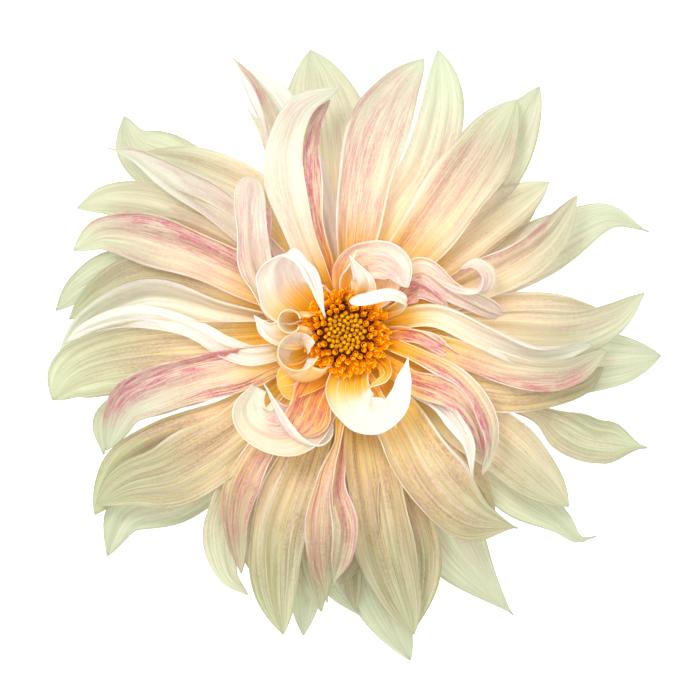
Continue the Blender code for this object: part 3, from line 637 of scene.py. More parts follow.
def lay_grid(shape: Shape, blade: Blade) -> list:
    """Lay a blade as a grid of squares, in millimetres.

    Args:
        shape: the mesh to add it to.
        blade: the curved sheet.

    Returns:
        (corner, side, place) for each corner, side from -1 to 1 and place from 0 to 1.
    """
    columns, lengths = blade.petal.row.columns, blade.petal.row.lengths
    made = bmesh.ops.create_grid(shape, x_segments=columns, y_segments=lengths, size=1.0)["verts"]
    sections = [blade.section(row / lengths) for row in range(lengths + 1)]
    spots = [(corner, corner.co.x, (corner.co.y + 1) / 2) for corner in made]
    for corner, side, place in spots:
        corner.co = sections[round(place * lengths)][round((side + 1) / 2 * columns)]
    return spots


def add_piece(name: str, shape: Shape, finishes: tuple) -> Piece:
    """Turn a shape in metres into a finished piece.

    Args:
        name: the piece's name.
        shape: the shape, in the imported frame. It is used up.
        finishes: the piece's materials.

    Returns:
        The piece.
    """
    mesh = bpy.data.meshes.new(name)
    shape.to_mesh(mesh)
    shape.free()
    mesh.shade_smooth()
    for finish in finishes:
        mesh.materials.append(finish)
    piece = bpy.data.objects.new(name, mesh)
    bpy.context.scene.collection.objects.link(piece)
    return piece


def add_centred_piece(name: str, shape: Shape, middle: Vector, *finishes: Skin) -> Piece:
    """Turn a shape in millimetres about the disc's axis into a finished piece.

    Args:
        name: the piece's name.
        shape: the shape. It is used up.
        middle: the disc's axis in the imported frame, in metres.
        finishes: the piece's materials.

    Returns:
        The piece.
    """
    bmesh.ops.scale(shape, vec=(MM, MM, MM), verts=shape.verts)
    bmesh.ops.translate(shape, vec=middle, verts=shape.verts)
    return add_piece(name, shape, finishes)


def spin_profile(shape: Shape, profile: tuple, steps: int) -> None:
    """Turn a profile about the disc's axis into a closed skin.

    Args:
        shape: the mesh to add it to.
        profile: (radius, height) pairs from the axis outward and back.
        steps: how many sides the turned skin has.
    """
    corners = [shape.verts.new((radius, 0, height)) for radius, height in profile]
    edges = [shape.edges.new(pair) for pair in zip(corners, corners[1:])]
    bmesh.ops.spin(shape, geom=corners + edges, cent=(0, 0, 0), axis=(0, 0, 1), dvec=(0, 0, 0),
                   angle=math.tau, steps=steps, use_merge=True)
    bmesh.ops.remove_doubles(shape, verts=shape.verts, dist=0.0001)
    bmesh.ops.recalc_face_normals(shape, faces=shape.faces)


@dataclass
class PetalSheets:
    """All blades of one row as one mesh, with what their colouring reads.

    Attributes:
        row: the row of petals.
        middle: the disc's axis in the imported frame, in metres.
        finishes: the skins of the upper and the lower side.
        thickness: the blades' thickness.
        first_seed: what the first petal's irregularities are drawn from.
        half_step: how far from the midrib the pink of the two halves blends.
    """

    row: Row
    middle: Vector
    finishes: tuple
    thickness: float = 0.35
    first_seed: int = 100
    half_step: float = 0.5

    def build(self) -> Piece:
        """Build the row.

        Returns:
            The finished piece.
        """
        shape = bmesh.new()
        layers = {name: shape.verts.layers.float.new(name)
                  for name in ("pink", "leafy", "warm", "white", "honey_shade", "chance")}
        layers |= {name: shape.loops.layers.uv.new(name) for name in ("place", "fibre")}
        for index, petal in enumerate(PETALS):
            if petal.row is self.row:
                self.add_blade(shape, layers, Blade(petal, self.first_seed + index), index)
        piece = add_piece(f"petals_{self.row.name.lower()}", shape, self.finishes)
        wall = piece.modifiers.new("thickness", "SOLIDIFY")
        wall.thickness = self.thickness * MM
        wall.offset = 0.0
        wall.material_offset = 1
        return piece

    def add_blade(self, shape: Shape, layers: dict, blade: Blade, index: int) -> None:
        """Add one blade, with its attributes and UV maps.

        Args:
            shape: the row's mesh.
            layers: its attributes and UV maps, by name.
            blade: the petal's curved sheet.
            index: the petal's place in the table.
        """
        petal = blade.petal
        spots = {corner: (side, place) for corner, side, place in lay_grid(shape, blade)}
        leafy, warm, white = petal.tint.value
        numbers = {"leafy": leafy, "warm": warm, "white": white, "honey_shade": petal.honey_shade,
                   "chance": random.Random(index).random()}
        for corner, (side, place) in spots.items():
            corner.co = self.middle + corner.co * MM
            corner[layers["pink"]] = self.pinkness(petal, side, place)
            for name, number in numbers.items():
                corner[layers[name]] = number
        for face in {face for corner in spots for face in corner.link_faces}:
            for loop in face.loops:
                side, place = spots[loop.vert]
                loop[layers["place"]].uv = ((side + 1) / 2, place)
                loop[layers["fibre"]].uv = (side * petal.width / 2, place * blade.midrib.length)

    def pinkness(self, petal: Petal, side: float, place: float) -> float:
        """Give how strongly a petal is streaked with magenta at a spot.

        Args:
            petal: the petal.
            side: from -1 at the left margin to 1 at the right.
            place: from 0 at the root to 1 at the tip.

        Returns:
            The strength, from 0 to 1.
        """
        left, right = petal.pink
        start, end = petal.span
        pink = left + (right - left) * smoothstep(-self.half_step, self.half_step, side)
        pink *= smoothstep(start - 0.12, start + 0.04, place)
        return pink * (1 - smoothstep(end - 0.06, end + 0.12, place))


@dataclass
class NodeBoard:
    """A material's node tree, with short calls to fill it.

    Attributes:
        name: the material's name.
    """

    name: str
    material: Skin = field(init=False)

    def __post_init__(self) -> None:
        """Start the material with an empty tree."""
        self.material = bpy.data.materials.new(self.name)
        self.material.use_nodes = True
        self.material.node_tree.nodes.clear()

    def add(self, kind: str, inputs: dict | None = None, **settings: str) -> bpy.types.Node:
        """Add a node.

        Args:
            kind: the node's type after ShaderNode.
            inputs: an output or a plain value for each input, by its name or place.
            settings: its properties, by name.

        Returns:
            The node.
        """
        node = self.material.node_tree.nodes.new("ShaderNode" + kind)
        for key, value in settings.items():
            setattr(node, key, value)
        for key, value in (inputs or {}).items():
            if isinstance(value, Socket):
                self.material.node_tree.links.new(value, node.inputs[key])
            else:
                node.inputs[key].default_value = value
        return node

    def math(self, operation: str, *values: object) -> Socket:
        """Combine one to three numbers or outputs by an operation of the Math node."""
        return self.add("Math", dict(enumerate(values)), operation=operation).outputs[0]

    def times(self, product: object, *factors: object) -> Socket:
        """Multiply two or more numbers or outputs."""
        for factor in factors:
            product = self.math("MULTIPLY", product, factor)
        return product

    def ease(self, value: Socket, low: float, high: float, start: float = 0.0,
             end: float = 1.0) -> Socket:
        """Ease a number from one range to another, held at both ends.

        Args:
            value: the number's output.
            low: the value that gives start.
            high: the value that gives end.
            start: the result at low.
            end: the result at high.

        Returns:
            The result's output.
        """
        inputs = dict(enumerate((value, low, high, start, end)))
        return self.add("MapRange", inputs, interpolation_type="SMOOTHSTEP").outputs["Result"]

    def mix(self, share: object, first: object, second: object, blend_type: str = "MIX") -> Socket:
        """Mix two colours.

        Args:
            share: how much of the second.
            first: the first colour or output.
            second: the second colour or output.
            blend_type: how they mix.

        Returns:
            The mixed colour's output.
        """
        inputs = {"Factor": share, 6: first, 7: second}
        return self.add("Mix", inputs, data_type="RGBA", blend_type=blend_type).outputs[2]

    def ramp(self, value: Socket, stops: tuple) -> Socket:
        """Colour a number.

        Args:
            value: the number's output.
            stops: (place, red, green, blue), with places from 0 to 1 and screen colours.

        Returns:
            The colour's output.
        """
        node = self.add("ValToRGB", {"Fac": value})
        elements = node.color_ramp.elements
        while len(elements) < len(stops):
            elements.new(0.5)
        for element, (place, *screen) in zip(elements, stops):
            element.position = place
            element.color = linear(*screen)
        return node.outputs["Color"]

    def attribute(self, name: str) -> Socket:
        """Read a number kept on the mesh."""
        return self.add("Attribute", attribute_name=name).outputs["Fac"]

    def uv(self, name: str) -> tuple:
        """Read the two numbers of a UV map."""
        split = self.add("SeparateXYZ", {"Vector": self.add("UVMap", uv_map=name).outputs["UV"]})
        return split.outputs["X"], split.outputs["Y"]

    def noise(self, vector: Socket, detail: float) -> Socket:
        """Read a noise from 0 to 1 at a vector, with so many finer layers."""
        inputs = {"Vector": vector, "Scale": 1.0, "Detail": detail}
        return self.add("TexNoise", inputs).outputs["Fac"]

    def bump(self, height: Socket, distance: float, strength: float) -> Socket:
        """Turn a height into a normal, with the height's depth in metres."""
        inputs = {"Strength": strength, "Distance": distance, "Height": height}
        return self.add("Bump", inputs).outputs["Normal"]

    def surface(self, colour: Socket, normal: Socket, glow: Socket, roughness: float,
                specular: float, thin: float) -> Skin:
        """Finish the material with a soft surface that may let light through.

        Args:
            colour: the surface's colour.
            normal: the bump's output.
            glow: the colour of the light that passes through.
            roughness: how matt it is.
            specular: how strongly it shines.
            thin: the share of light that passes through.

        Returns:
            The material.
        """
        result = self.add("BsdfPrincipled", {"Base Color": colour, "Roughness": roughness,
                                             "Specular IOR Level": specular,
                                             "Normal": normal}).outputs["BSDF"]
        if thin:
            behind = self.add("BsdfTranslucent", {"Color": glow, "Normal": normal})
            both = {"Fac": thin, 1: result, 2: behind.outputs["BSDF"]}
            result = self.add("MixShader", both).outputs["Shader"]
        self.add("OutputMaterial", {"Surface": result})
        return self.material


@dataclass(frozen=True)
class Pattern:
    """A noise drawn out along a blade's fibres, eased to a strength.

    Attributes:
        across: patches per millimetre across the blade.
        along: patches per millimetre along it.
        span: the noise's values between which it is eased and, where given, the strengths there.
        detail: how many finer layers it has.
    """

    across: float
    along: float
    span: tuple
    detail: float = 2.0


@dataclass(frozen=True)
class Coat:
    """A colour laid over a blade where some patterns are strong.

    Attributes:
        colour: its screen colour.
        blend_type: how it mixes with the colours under it.
        patterns: the patterns, whose strengths multiply.
        along: spans in millimetres from the foot, with the strengths there.
        to_tips: how much its strength grows towards the tips.
        coloured: its strength on a coloured petal, from which a white one loses some.
    """

    colour: tuple
    blend_type: str
    patterns: tuple
    along: tuple = ()
    to_tips: float = 0.0
    coloured: float = 0.0


@dataclass
class PetalBoard(NodeBoard):
    """A petal's board, with its readings of the blade and the colour laid so far.

    Attributes:
        spread: how far apart the noises of two petals lie.
        tips_span: millimetres from the foot where the tip's colours begin and are full.
        white_loss: how much strength a coat loses on a white petal.
    """

    spread: float = 57.0
    tips_span: tuple = (45.0, 85.0)
    white_loss: float = 0.75

    def __post_init__(self) -> None:
        """Start the board and read the blade."""
        super().__post_init__()
        self.side = self.uv("place")[0]
        self.across, self.along = self.uv("fibre")
        self.chance = self.times(self.attribute("chance"), self.spread)
        self.white = self.attribute("white")
        self.warm = self.attribute("warm")
        self.tips = self.ease(self.along, *self.tips_span)
        self.colour = None

    def weave(self, pattern: Pattern, across: Socket | None = None, shift: float = 0.0) -> Socket:
        """Read a pattern's noise, different on each petal.

        Args:
            pattern: the pattern.
            across: what to read it across, if not the millimetres from the midrib.
            shift: what sets it apart from the petal's other noises.

        Returns:
            The noise's output, from 0 to 1.
        """
        place = (self.times(across or self.across, pattern.across),
                 self.times(self.along, pattern.along), self.math("ADD", self.chance, shift))
        vector = self.add("CombineXYZ", dict(enumerate(place))).outputs["Vector"]
        return self.noise(vector, pattern.detail)

    def strength(self, pattern: Pattern) -> Socket:
        """Read a pattern's strength."""
        return self.ease(self.weave(pattern), *pattern.span)

    def to_tips(self, change: float, foot: float = 1.0) -> Socket:
        """Give a strength that changes from the foot's to the tips'."""
        return self.math("MULTIPLY_ADD", self.tips, change, foot)

    def lay(self, share: Socket, colour: object, blend_type: str = "MIX") -> None:
        """Lay a colour over those laid so far."""
        self.colour = self.mix(share, self.colour, colour, blend_type)

    def lay_coat(self, coat: Coat) -> None:
        """Lay a coat over the colours laid so far."""
        shares = [self.strength(pattern) for pattern in coat.patterns]
        shares += [self.ease(self.along, *span) for span in coat.along]
        if coat.to_tips:
            shares.append(self.to_tips(coat.to_tips))
        if coat.coloured:
            loss = self.math("MULTIPLY_ADD", self.white, -self.white_loss, coat.coloured)
            shares.append(loss)
        self.lay(self.times(*shares), linear(*coat.colour), coat.blend_type)


@dataclass(frozen=True)
class PetalFinish:
    """The skin of a petal, from its saffron foot to its pale green tip.

    Attributes:
        name: the material's name.
        depth: how deep the green goes on this side.
        honey: how much of a lined petal's honey colour, which is partly painted shade in its
            hollow, this side takes.
        reach: the length in millimetres that the colours of foot to tip are given for.
        pace: how much faster they run on a coloured and on a white petal.
        pale, warm, green: those colours, as (share of the length, red, green, blue).
        coats: dull mauve bands that are partly painted shade between the ridges, painted highlights
            on the ridge crests, fibres, and cloudy mauve cells that stand in files.
    """

    name: str
    depth: float
    honey: float
    reach: float = 110.0
    pace: tuple = (0.85, 1.25)
    pale: tuple = ((0.0, 255, 160, 2), (0.10, 255, 188, 20), (0.19, 255, 216, 88),
                   (0.31, 254, 238, 204), (0.60, 245, 243, 229), (1.0, 218, 230, 210))
    warm: tuple = ((0.0, 250, 146, 2), (0.10, 255, 176, 16), (0.18, 255, 202, 70),
                   (0.27, 255, 228, 160), (0.36, 254, 231, 188), (0.46, 242, 220, 178),
                   (0.58, 222, 211, 168), (0.74, 224, 226, 186), (1.0, 216, 229, 198))
    green: tuple = ((0.0, 252, 172, 14), (0.16, 250, 216, 116), (0.32, 240, 232, 200),
                    (0.50, 222, 226, 196), (0.8, 210, 220, 188), (1.0, 200, 212, 180))
    green_along: tuple = (25.0, 85.0)
    bleach: tuple = linear(248, 247, 243)
    bleach_along: tuple = (12.0, 26.0, 0.0, 0.85)
    fibres: Pattern = Pattern(1.6, 0.03, (0.62, 0.36, 0.0, 0.5), 4.0)
    coats: tuple = (
        # Dull mauve bands: partly the petal's own tone, partly painted shade between the ridges.
        Coat((214, 190, 176), "MULTIPLY", (Pattern(0.33, 0.012, (0.46, 0.76, 0.0, 0.32)),),
             to_tips=-0.5, coloured=0.95),
        # Painted highlights along the ridge crests, where the dull bands above are weakest.
        Coat((252, 247, 232), "MIX", (Pattern(0.33, 0.012, (0.46, 0.3, 0.0, 0.45)),),
             along=((14.0, 40.0, 0.2, 1.0),), to_tips=-0.6),
        Coat((194, 202, 174), "MULTIPLY", (fibres,), to_tips=0.35, coloured=1.1),
        Coat((202, 168, 160), "MULTIPLY", (Pattern(0.13, 0.045, (0.4, 0.62, 0.3, 0.85)),
                                           Pattern(1.9, 0.9, (0.34, 0.66, 0.25, 1.0)),
                                           Pattern(2.1, 0.05, (0.36, 0.64, 0.35, 1.0))),
             along=((10.0, 36.0, 0.35, 1.0), (60.0, 95.0, 1.0, 0.55)), coloured=1.05),
    )
    magenta: tuple = linear(208, 84, 128)
    magenta_along: tuple = (3.0, 16.0, 0.2, 1.0)
    clusters: Pattern = Pattern(0.22, 0.03, (0.37, 0.62))
    cluster_growth: float = 0.13
    streaks: Pattern = Pattern(2.6, 0.14, (0.4, 0.58, 0.15, 1.0))
    flecks: Pattern = Pattern(3.4, 0.9, (0.3, 0.62, 0.5, 1.0))
    veins_per_mm: float = 0.28
    vein_edge: tuple = (0.01, 0.07, 1.0, 0.0)
    vein_fading: Pattern = Pattern(0.5, 0.05, (0.35, 0.6, 0.3, 1.0), 1.0)
    vein: tuple = linear(236, 222, 104)
    pale_vein: tuple = linear(252, 246, 206)
    # Honey colour for the hollows of curled petals: partly their warm tone, partly painted shade.
    honey_shade_colour: tuple = linear(252, 216, 142)
    # Painted highlight along the thin margins, where light catches the edge.
    margin: tuple = linear(255, 253, 244)
    margin_edge: tuple = (0.43, 0.5)
    margin_highlight_breaks: Pattern = Pattern(2.0, 0.035, (0.4, 0.62, 0.15, 0.75), 1.0)
    outer: tuple = linear(206, 212, 178)
    outer_edge: tuple = (0.45, 0.5, 0.0, 0.45)
    relief: float = 0.00025
    daylight: tuple = linear(255, 255, 250)
    thin: float = 0.42

    def make(self) -> Skin:
        """Build the finish.

        Returns:
            The material.
        """
        board = PetalBoard(self.name)
        self.lay_ground(board)
        for coat in self.coats:
            board.lay_coat(coat)
        self.lay_streaks(board)
        veins = self.lay_veins(board)
        # Honey colour on the upper side of the curled petals: partly their warm tone, partly
        # painted shade inside their hollows.
        board.lay(board.times(board.attribute("honey_shade"), self.honey), self.honey_shade_colour)
        self.lay_margin_highlight(board)
        height = board.math("ADD", board.times(board.weave(self.fibres), 0.6),
                            board.times(veins, -0.5))
        normal = board.bump(height, self.relief, 0.7)
        glow = board.mix(0.35, board.colour, self.daylight)
        return board.surface(board.colour, normal, glow, 0.5, 0.3, self.thin)

    def lay_ground(self, board: PetalBoard) -> None:
        """Lay the colours from foot to tip, and bleach the white petals."""
        slow, fast = self.pace
        pace = board.ease(board.white, 0.6, 1.0, slow / self.reach, fast / self.reach)
        reach = board.times(board.along, pace)
        board.colour = board.ramp(reach, self.pale)
        board.lay(board.warm, board.ramp(reach, self.warm))
        leafy = board.ease(board.along, *self.green_along, 0.0, self.depth)
        board.lay(board.times(board.attribute("leafy"), leafy), board.ramp(reach, self.green))
        board.lay(board.times(board.ease(board.white, 0.7, 1.0),
                              board.ease(board.along, *self.bleach_along)), self.bleach)

    def lay_streaks(self, board: PetalBoard) -> None:
        """Lay magenta streaks and flecks in clusters, which are wider on a pinker petal."""
        pink = board.attribute("pink")
        noise = board.weave(self.clusters, shift=9.0)
        clusters = board.math("MULTIPLY_ADD", pink, self.cluster_growth, noise)
        board.lay(board.times(board.ease(clusters, *self.clusters.span), pink,
                              board.strength(self.streaks), board.strength(self.flecks),
                              board.ease(board.along, *self.magenta_along)), self.magenta)

    def lay_veins(self, board: PetalBoard) -> Socket:
        """Lay the thin lengthwise veins.

        Args:
            board: the material's board.

        Returns:
            The veins' output, 1 on a vein.
        """
        place = board.math("MULTIPLY_ADD", board.across, self.veins_per_mm, board.chance)
        lines = board.add("TexVoronoi", {"W": place, "Scale": 1.0}, voronoi_dimensions="1D",
                          feature="DISTANCE_TO_EDGE").outputs["Distance"]
        veins = board.times(board.ease(lines, *self.vein_edge), board.strength(self.vein_fading))
        colour = board.mix(board.warm, self.pale_vein, self.vein)
        board.lay(board.times(veins, board.to_tips(-0.45, 0.9)), colour)
        return veins

    def lay_margin_highlight(self, board: PetalBoard) -> None:
        """Lay a painted highlight along the margins, broken here and there, and the duller margin
        of the tips.
        """
        edge = board.math("ABSOLUTE", board.math("SUBTRACT", board.side, 0.5))
        light = board.ease(board.weave(self.margin_highlight_breaks, board.side), *self.margin_highlight_breaks.span)
        # Painted highlight along the margins, strongest towards the foot.
        board.lay(board.times(board.ease(edge, *self.margin_edge), light, board.to_tips(-0.8)),
                  self.margin)
        board.lay(board.times(board.ease(edge, *self.outer_edge), board.tips), self.outer,
                  "MULTIPLY")


@dataclass(frozen=True)
class PlainFinish:
    """A soft plant skin of one colour, mottled and grained along one axis.

    Attributes:
        name: the material's name.
        light: its lighter screen colour.
        dark: its darker screen colour.
        grain: patches per metre across the three axes.
        thin: the share of light that passes through.
    """

    name: str
    light: tuple
    dark: tuple
    grain: tuple = (900.0, 900.0, 900.0)
    thin: float = 0.0
    patch_noise: tuple = (0.35, 0.65)
    patch_detail: float = 3.0
    relief: float = 0.0002
    relief_strength: float = 0.6
    roughness: float = 0.6
    specular: float = 0.1

    def make(self) -> Skin:
        """Build the finish.

        Returns:
            The material.
        """
        board = NodeBoard(self.name)
        place = {"Vector": board.add("TexCoord").outputs["Object"], "Scale": self.grain}
        patches = board.noise(board.add("Mapping", place).outputs["Vector"], self.patch_detail)
        colour = board.mix(board.ease(patches, *self.patch_noise), linear(*self.dark),
                           linear(*self.light))
        normal = board.bump(patches, self.relief, self.relief_strength)
        return board.surface(colour, normal, colour, self.roughness, self.specular, self.thin)


@dataclass
class Disc:
    """The disc: a low dome of closed buds, ringed by opened florets.

    Attributes:
        middle: the disc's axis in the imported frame, in metres.
        dome: the dome's profile as (radius, height).
        shift: how far the florets' middle lies from the axis.
        buds: how many closed buds stand within bud_reach.
        opened: how many opened florets ring them, out to opened_reach.
        crowd_from: the distance from which their feet crowd together.
        crowd: how much of the rest of the distance they keep.
        sag: how much lower than top the outermost feet are.
        lean: how far the outermost florets lean out, as a slope.
    """

    middle: Vector
    dome: tuple = ((0, 26.3), (10.2, 26.3), (11.2, 28.0), (9.8, 30.3), (5.4, 32.3), (0, 32.9))
    shift: tuple = (-0.6, 0.2, 0.0)
    buds: int = 60
    bud_reach: float = 6.7
    bud_radius: float = 0.70
    bud_growth: float = 0.22
    bud_stretch: float = 1.35
    bud_point: float = 0.35
    rib_share: float = 0.07
    opened: int = 156
    opened_reach: float = 14.8
    crowd_from: float = 10.0
    crowd: float = 0.4
    top: float = 32.0
    sag: float = 3.4
    lean: float = 1.05
    lobes: int = 5
    mouth_radius: float = 0.78
    foot_radius: float = 0.5
    style_over: float = 1.5
    dust_radius: float = 0.36
    bud_material: int = 1
    petal_material: int = 2
    dust_material: int = 3

    def build(self, finishes: tuple) -> Piece:
        """Build the disc.

        Args:
            finishes: the skins of dome, bud, floret and pollen.

        Returns:
            The piece.
        """
        shape = bmesh.new()
        spin_profile(shape, self.dome, 32)
        draw = random.Random(5)
        for index in range(self.buds):
            reach = self.bud_reach * math.sqrt((index + 0.5) / self.buds)
            self.add_bud(shape, draw, index * GOLDEN_ANGLE, reach)
        least, most = self.bud_reach ** 2, self.opened_reach ** 2
        for index in range(self.opened):
            reach = math.sqrt(least + (index + 0.5) / self.opened * (most - least))
            angle = (self.buds + index) * GOLDEN_ANGLE + draw.uniform(-0.08, 0.08)
            self.add_floret(shape, draw, angle, reach + 0.4)
        return add_centred_piece("disc_head", shape, self.middle, *finishes)

    def foot(self, angle: float, reach: float) -> tuple:
        """Find where a floret stands and which way it grows.

        Args:
            angle: its angle round the axis.
            reach: its distance from the axis.

        Returns:
            Its foot and its direction.
        """
        outward = Vector((math.cos(angle), math.sin(angle), 0))
        share = reach / self.opened_reach
        crowded = min(reach, self.crowd_from + self.crowd * (reach - self.crowd_from))
        spot = outward * crowded + Vector(self.shift)
        spot.z = self.top - self.sag * share ** 2
        return spot, (outward * (self.lean * share ** 1.6) + Vector((0, 0, 1))).normalized()

    def stand(self, shape: Shape, corners: list, foot: tuple, turn: float, material: int) -> None:
        """Stand some corners, made round the Z axis, at a floret's foot.

        Args:
            shape: the mesh.
            corners: the corners to move.
            foot: the foot and the direction that Z turns to.
            turn: the turn about that direction.
            material: the material's place on the piece.
        """
        spot, grow = foot
        upright = grow.to_track_quat("Z", "Y").to_matrix().to_4x4()
        matrix = Matrix.Translation(spot) @ upright @ Matrix.Rotation(turn, 4, "Z")
        bmesh.ops.transform(shape, matrix=matrix, verts=corners)
        for face in {face for corner in corners for face in corner.link_faces}:
            face.material_index = material

    def add_bud(self, shape: Shape, draw: random.Random, angle: float, reach: float) -> None:
        """Add a closed bud: a short drop with five faint ribs.

        Args:
            shape: the mesh.
            draw: where its irregularities are drawn from.
            angle: its angle round the axis.
            reach: its distance from the axis.
        """
        radius = self.bud_radius + self.bud_growth * reach / self.bud_reach
        radius *= draw.uniform(0.94, 1.05)
        made = bmesh.ops.create_uvsphere(shape, u_segments=10, v_segments=7, radius=radius)["verts"]
        for corner in made:
            around = math.atan2(corner.co.y, corner.co.x)
            rib = self.rib_share * math.cos(self.lobes * around) * (1 - abs(corner.co.z) / radius)
            point = self.bud_point if corner.co.z > radius * 0.95 else 0
            corner.co.xy = corner.co.xy * (1 + rib)
            corner.co.z = corner.co.z * self.bud_stretch + 1.0 + point
        self.stand(shape, made, self.foot(angle, reach), draw.uniform(0, 6), self.bud_material)

    def add_floret(self, shape: Shape, draw: random.Random, angle: float, reach: float) -> None:
        """Add an opened floret: a tube with five turned-back lobes and a forked, dusted style.

        Args:
            shape: the mesh.
            draw: where its irregularities are drawn from.
            angle: its angle round the axis.
            reach: its distance from the axis.
        """
        spot, grow = self.foot(angle, reach)
        age = smoothstep(self.bud_reach, self.opened_reach, reach)
        length = (2.2 + 2.1 * age) * draw.uniform(0.85, 1.12)
        lean = Vector((draw.uniform(-0.16, 0.16), draw.uniform(-0.16, 0.16), 0))
        foot = (spot, (grow + lean).normalized())
        turn = draw.uniform(0, math.tau)
        tube = bmesh.ops.create_cone(shape, cap_ends=False, segments=2 * self.lobes, depth=length,
                                     radius1=self.foot_radius, radius2=self.mouth_radius)["verts"]
        mouth = [corner for corner in tube if corner.co.z > 0]
        bmesh.ops.translate(shape, vec=(0, 0, length / 2), verts=tube)
        edges = [edge for edge in {edge for corner in mouth for edge in corner.link_edges}
                 if all(end in mouth for end in edge.verts)]
        lobes = [item for item in bmesh.ops.extrude_edge_only(shape, edges=edges)["geom"]
                 if isinstance(item, bmesh.types.BMVert)]
        spread = draw.uniform(0.5, 0.9) * (0.6 + 0.5 * age)
        for corner in lobes:
            point = math.cos(math.atan2(corner.co.y, corner.co.x) * self.lobes)
            out = Vector((corner.co.x, corner.co.y, 0)).normalized()
            corner.co += out * (spread * (0.6 + 0.5 * point))
            corner.co.z += 0.15 + 0.55 * max(point, -0.3)
        self.stand(shape, tube + lobes, foot, turn, self.petal_material)
        height = length + self.style_over
        style = bmesh.ops.create_cone(shape, cap_ends=True, segments=6, radius1=0.2, radius2=0.3,
                                      depth=height)["verts"]
        bmesh.ops.translate(shape, vec=(0, 0, height / 2), verts=style)
        self.stand(shape, style, foot, turn, self.petal_material)
        for sign in (-1, 1):
            tip = bmesh.ops.create_icosphere(shape, subdivisions=1,
                                             radius=self.dust_radius)["verts"]
            bmesh.ops.scale(shape, vec=(1.5, 0.8, 0.9), verts=tip)
            bmesh.ops.translate(shape, vec=(sign * 0.34, 0, height + 0.05), verts=tip)
            self.stand(shape, tip, foot, turn, self.dust_material)


@dataclass
class Calyx:
    """The green cup under the petals, with its reflexed outer bracts.

    Attributes:
        middle: the disc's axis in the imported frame, in metres.
        cup: the cup's profile as (radius, height).
        bracts: how many bracts it has, each of the width, path and thickness given.
        first_seed: what the first bract's irregularities are drawn from.
    """

    middle: Vector
    cup: tuple = ((0, 7.7), (4.6, 7.7), (6.0, 8.3), (7.6, 9.6), (8.4, 11.2), (8.4, 12.7), (0, 12.7))
    bracts: int = 8
    width: float = 6.2
    path: tuple = ((5.0, 0, 10.2), (10.0, 0, 9.4), (16.0, 0, 8.8), (21.0, 0, 6.6))
    thickness: float = 0.5
    first_seed: int = 30

    def build(self, green: Skin) -> Piece:
        """Build the calyx.

        Args:
            green: its skin.

        Returns:
            The piece.
        """
        shape = bmesh.new()
        spin_profile(shape, self.cup, 40)
        bract = Petal("bract", Row.BACK, self.width, self.path, cup=(50, 25, 15),
                      outline=Outline.LANCE, rim=10, pleat=0.1, ruffle=0.3, crease=0.2)
        for index in range(self.bracts):
            turn = Matrix.Rotation(math.tau * index / self.bracts, 4, "Z")
            corners = [spot[0] for spot in lay_grid(shape, Blade(bract, self.first_seed + index))]
            for corner in corners:
                corner.co = turn @ corner.co
            faces = list({face for corner in corners for face in corner.link_faces})
            bmesh.ops.solidify(shape, geom=faces, thickness=self.thickness)
        return add_centred_piece("calyx_green", shape, self.middle, green)


@dataclass
class Neck:
    """The cut neck under the calyx: a ribbed, hollow stub.

    Attributes:
        middle: the disc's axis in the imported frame, in metres.
        bore: the radius of its hollow at the cut.
        rib_share: how deep the grooves between its ribs are, as a share of the radius.
    """

    middle: Vector
    radius: float = 4.2
    height: float = 7.4
    bore: float = 1.6
    bore_depth: float = 3.5
    ribs: int = 8
    rib_share: float = 0.018

    def build(self, skin: Skin, pith: Skin) -> Piece:
        """Build the neck.

        Args:
            skin: its green skin.
            pith: its cut face.

        Returns:
            The piece.
        """
        shape = bmesh.new()
        outside = ((0, self.height), (self.radius - 0.2, self.height),
                   (self.radius, self.height - 0.4), (self.radius - 0.15, self.height * 0.5),
                   (self.radius, 0.3), (self.radius - 0.25, 0.0))
        hollow = ((self.bore, 0.0), (self.bore * 0.9, 0.5), (self.bore * 0.8, self.bore_depth),
                  (0, self.bore_depth))
        spin_profile(shape, outside + hollow, 48)
        for corner in shape.verts:
            around = math.atan2(corner.co.y, corner.co.x)
            if corner.co.to_2d().length > self.bore * 1.2:
                groove = self.rib_share * (1 + math.cos(self.ribs * around))
                corner.co.xy = corner.co.xy * (1 - groove)
        for face in shape.faces:
            centre = face.calc_center_median()
            cut = centre.z < 0.1 or centre.to_2d().length < self.bore * 1.05
            face.material_index = int(cut)
        return add_centred_piece("neck", shape, self.middle, skin, pith)


@dataclass
class Receptacle:
    """The cushion that petals and florets grow from.

    Attributes:
        middle: the disc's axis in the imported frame, in metres.
        profile: its profile as (radius, height).
    """

    middle: Vector
    profile: tuple = ((0, 13.0), (8.0, 13.0), (12.0, 15.0), (13.6, 19.0), (12.4, 23.5), (9.6, 26.0),
                      (0, 26.0))

    def build(self, flesh: Skin) -> Piece:
        """Build the receptacle.

        Args:
            flesh: its skin.

        Returns:
            The piece.
        """
        shape = bmesh.new()
        spin_profile(shape, self.profile, 48)
        return add_centred_piece("receptacle", shape, self.middle, flesh)


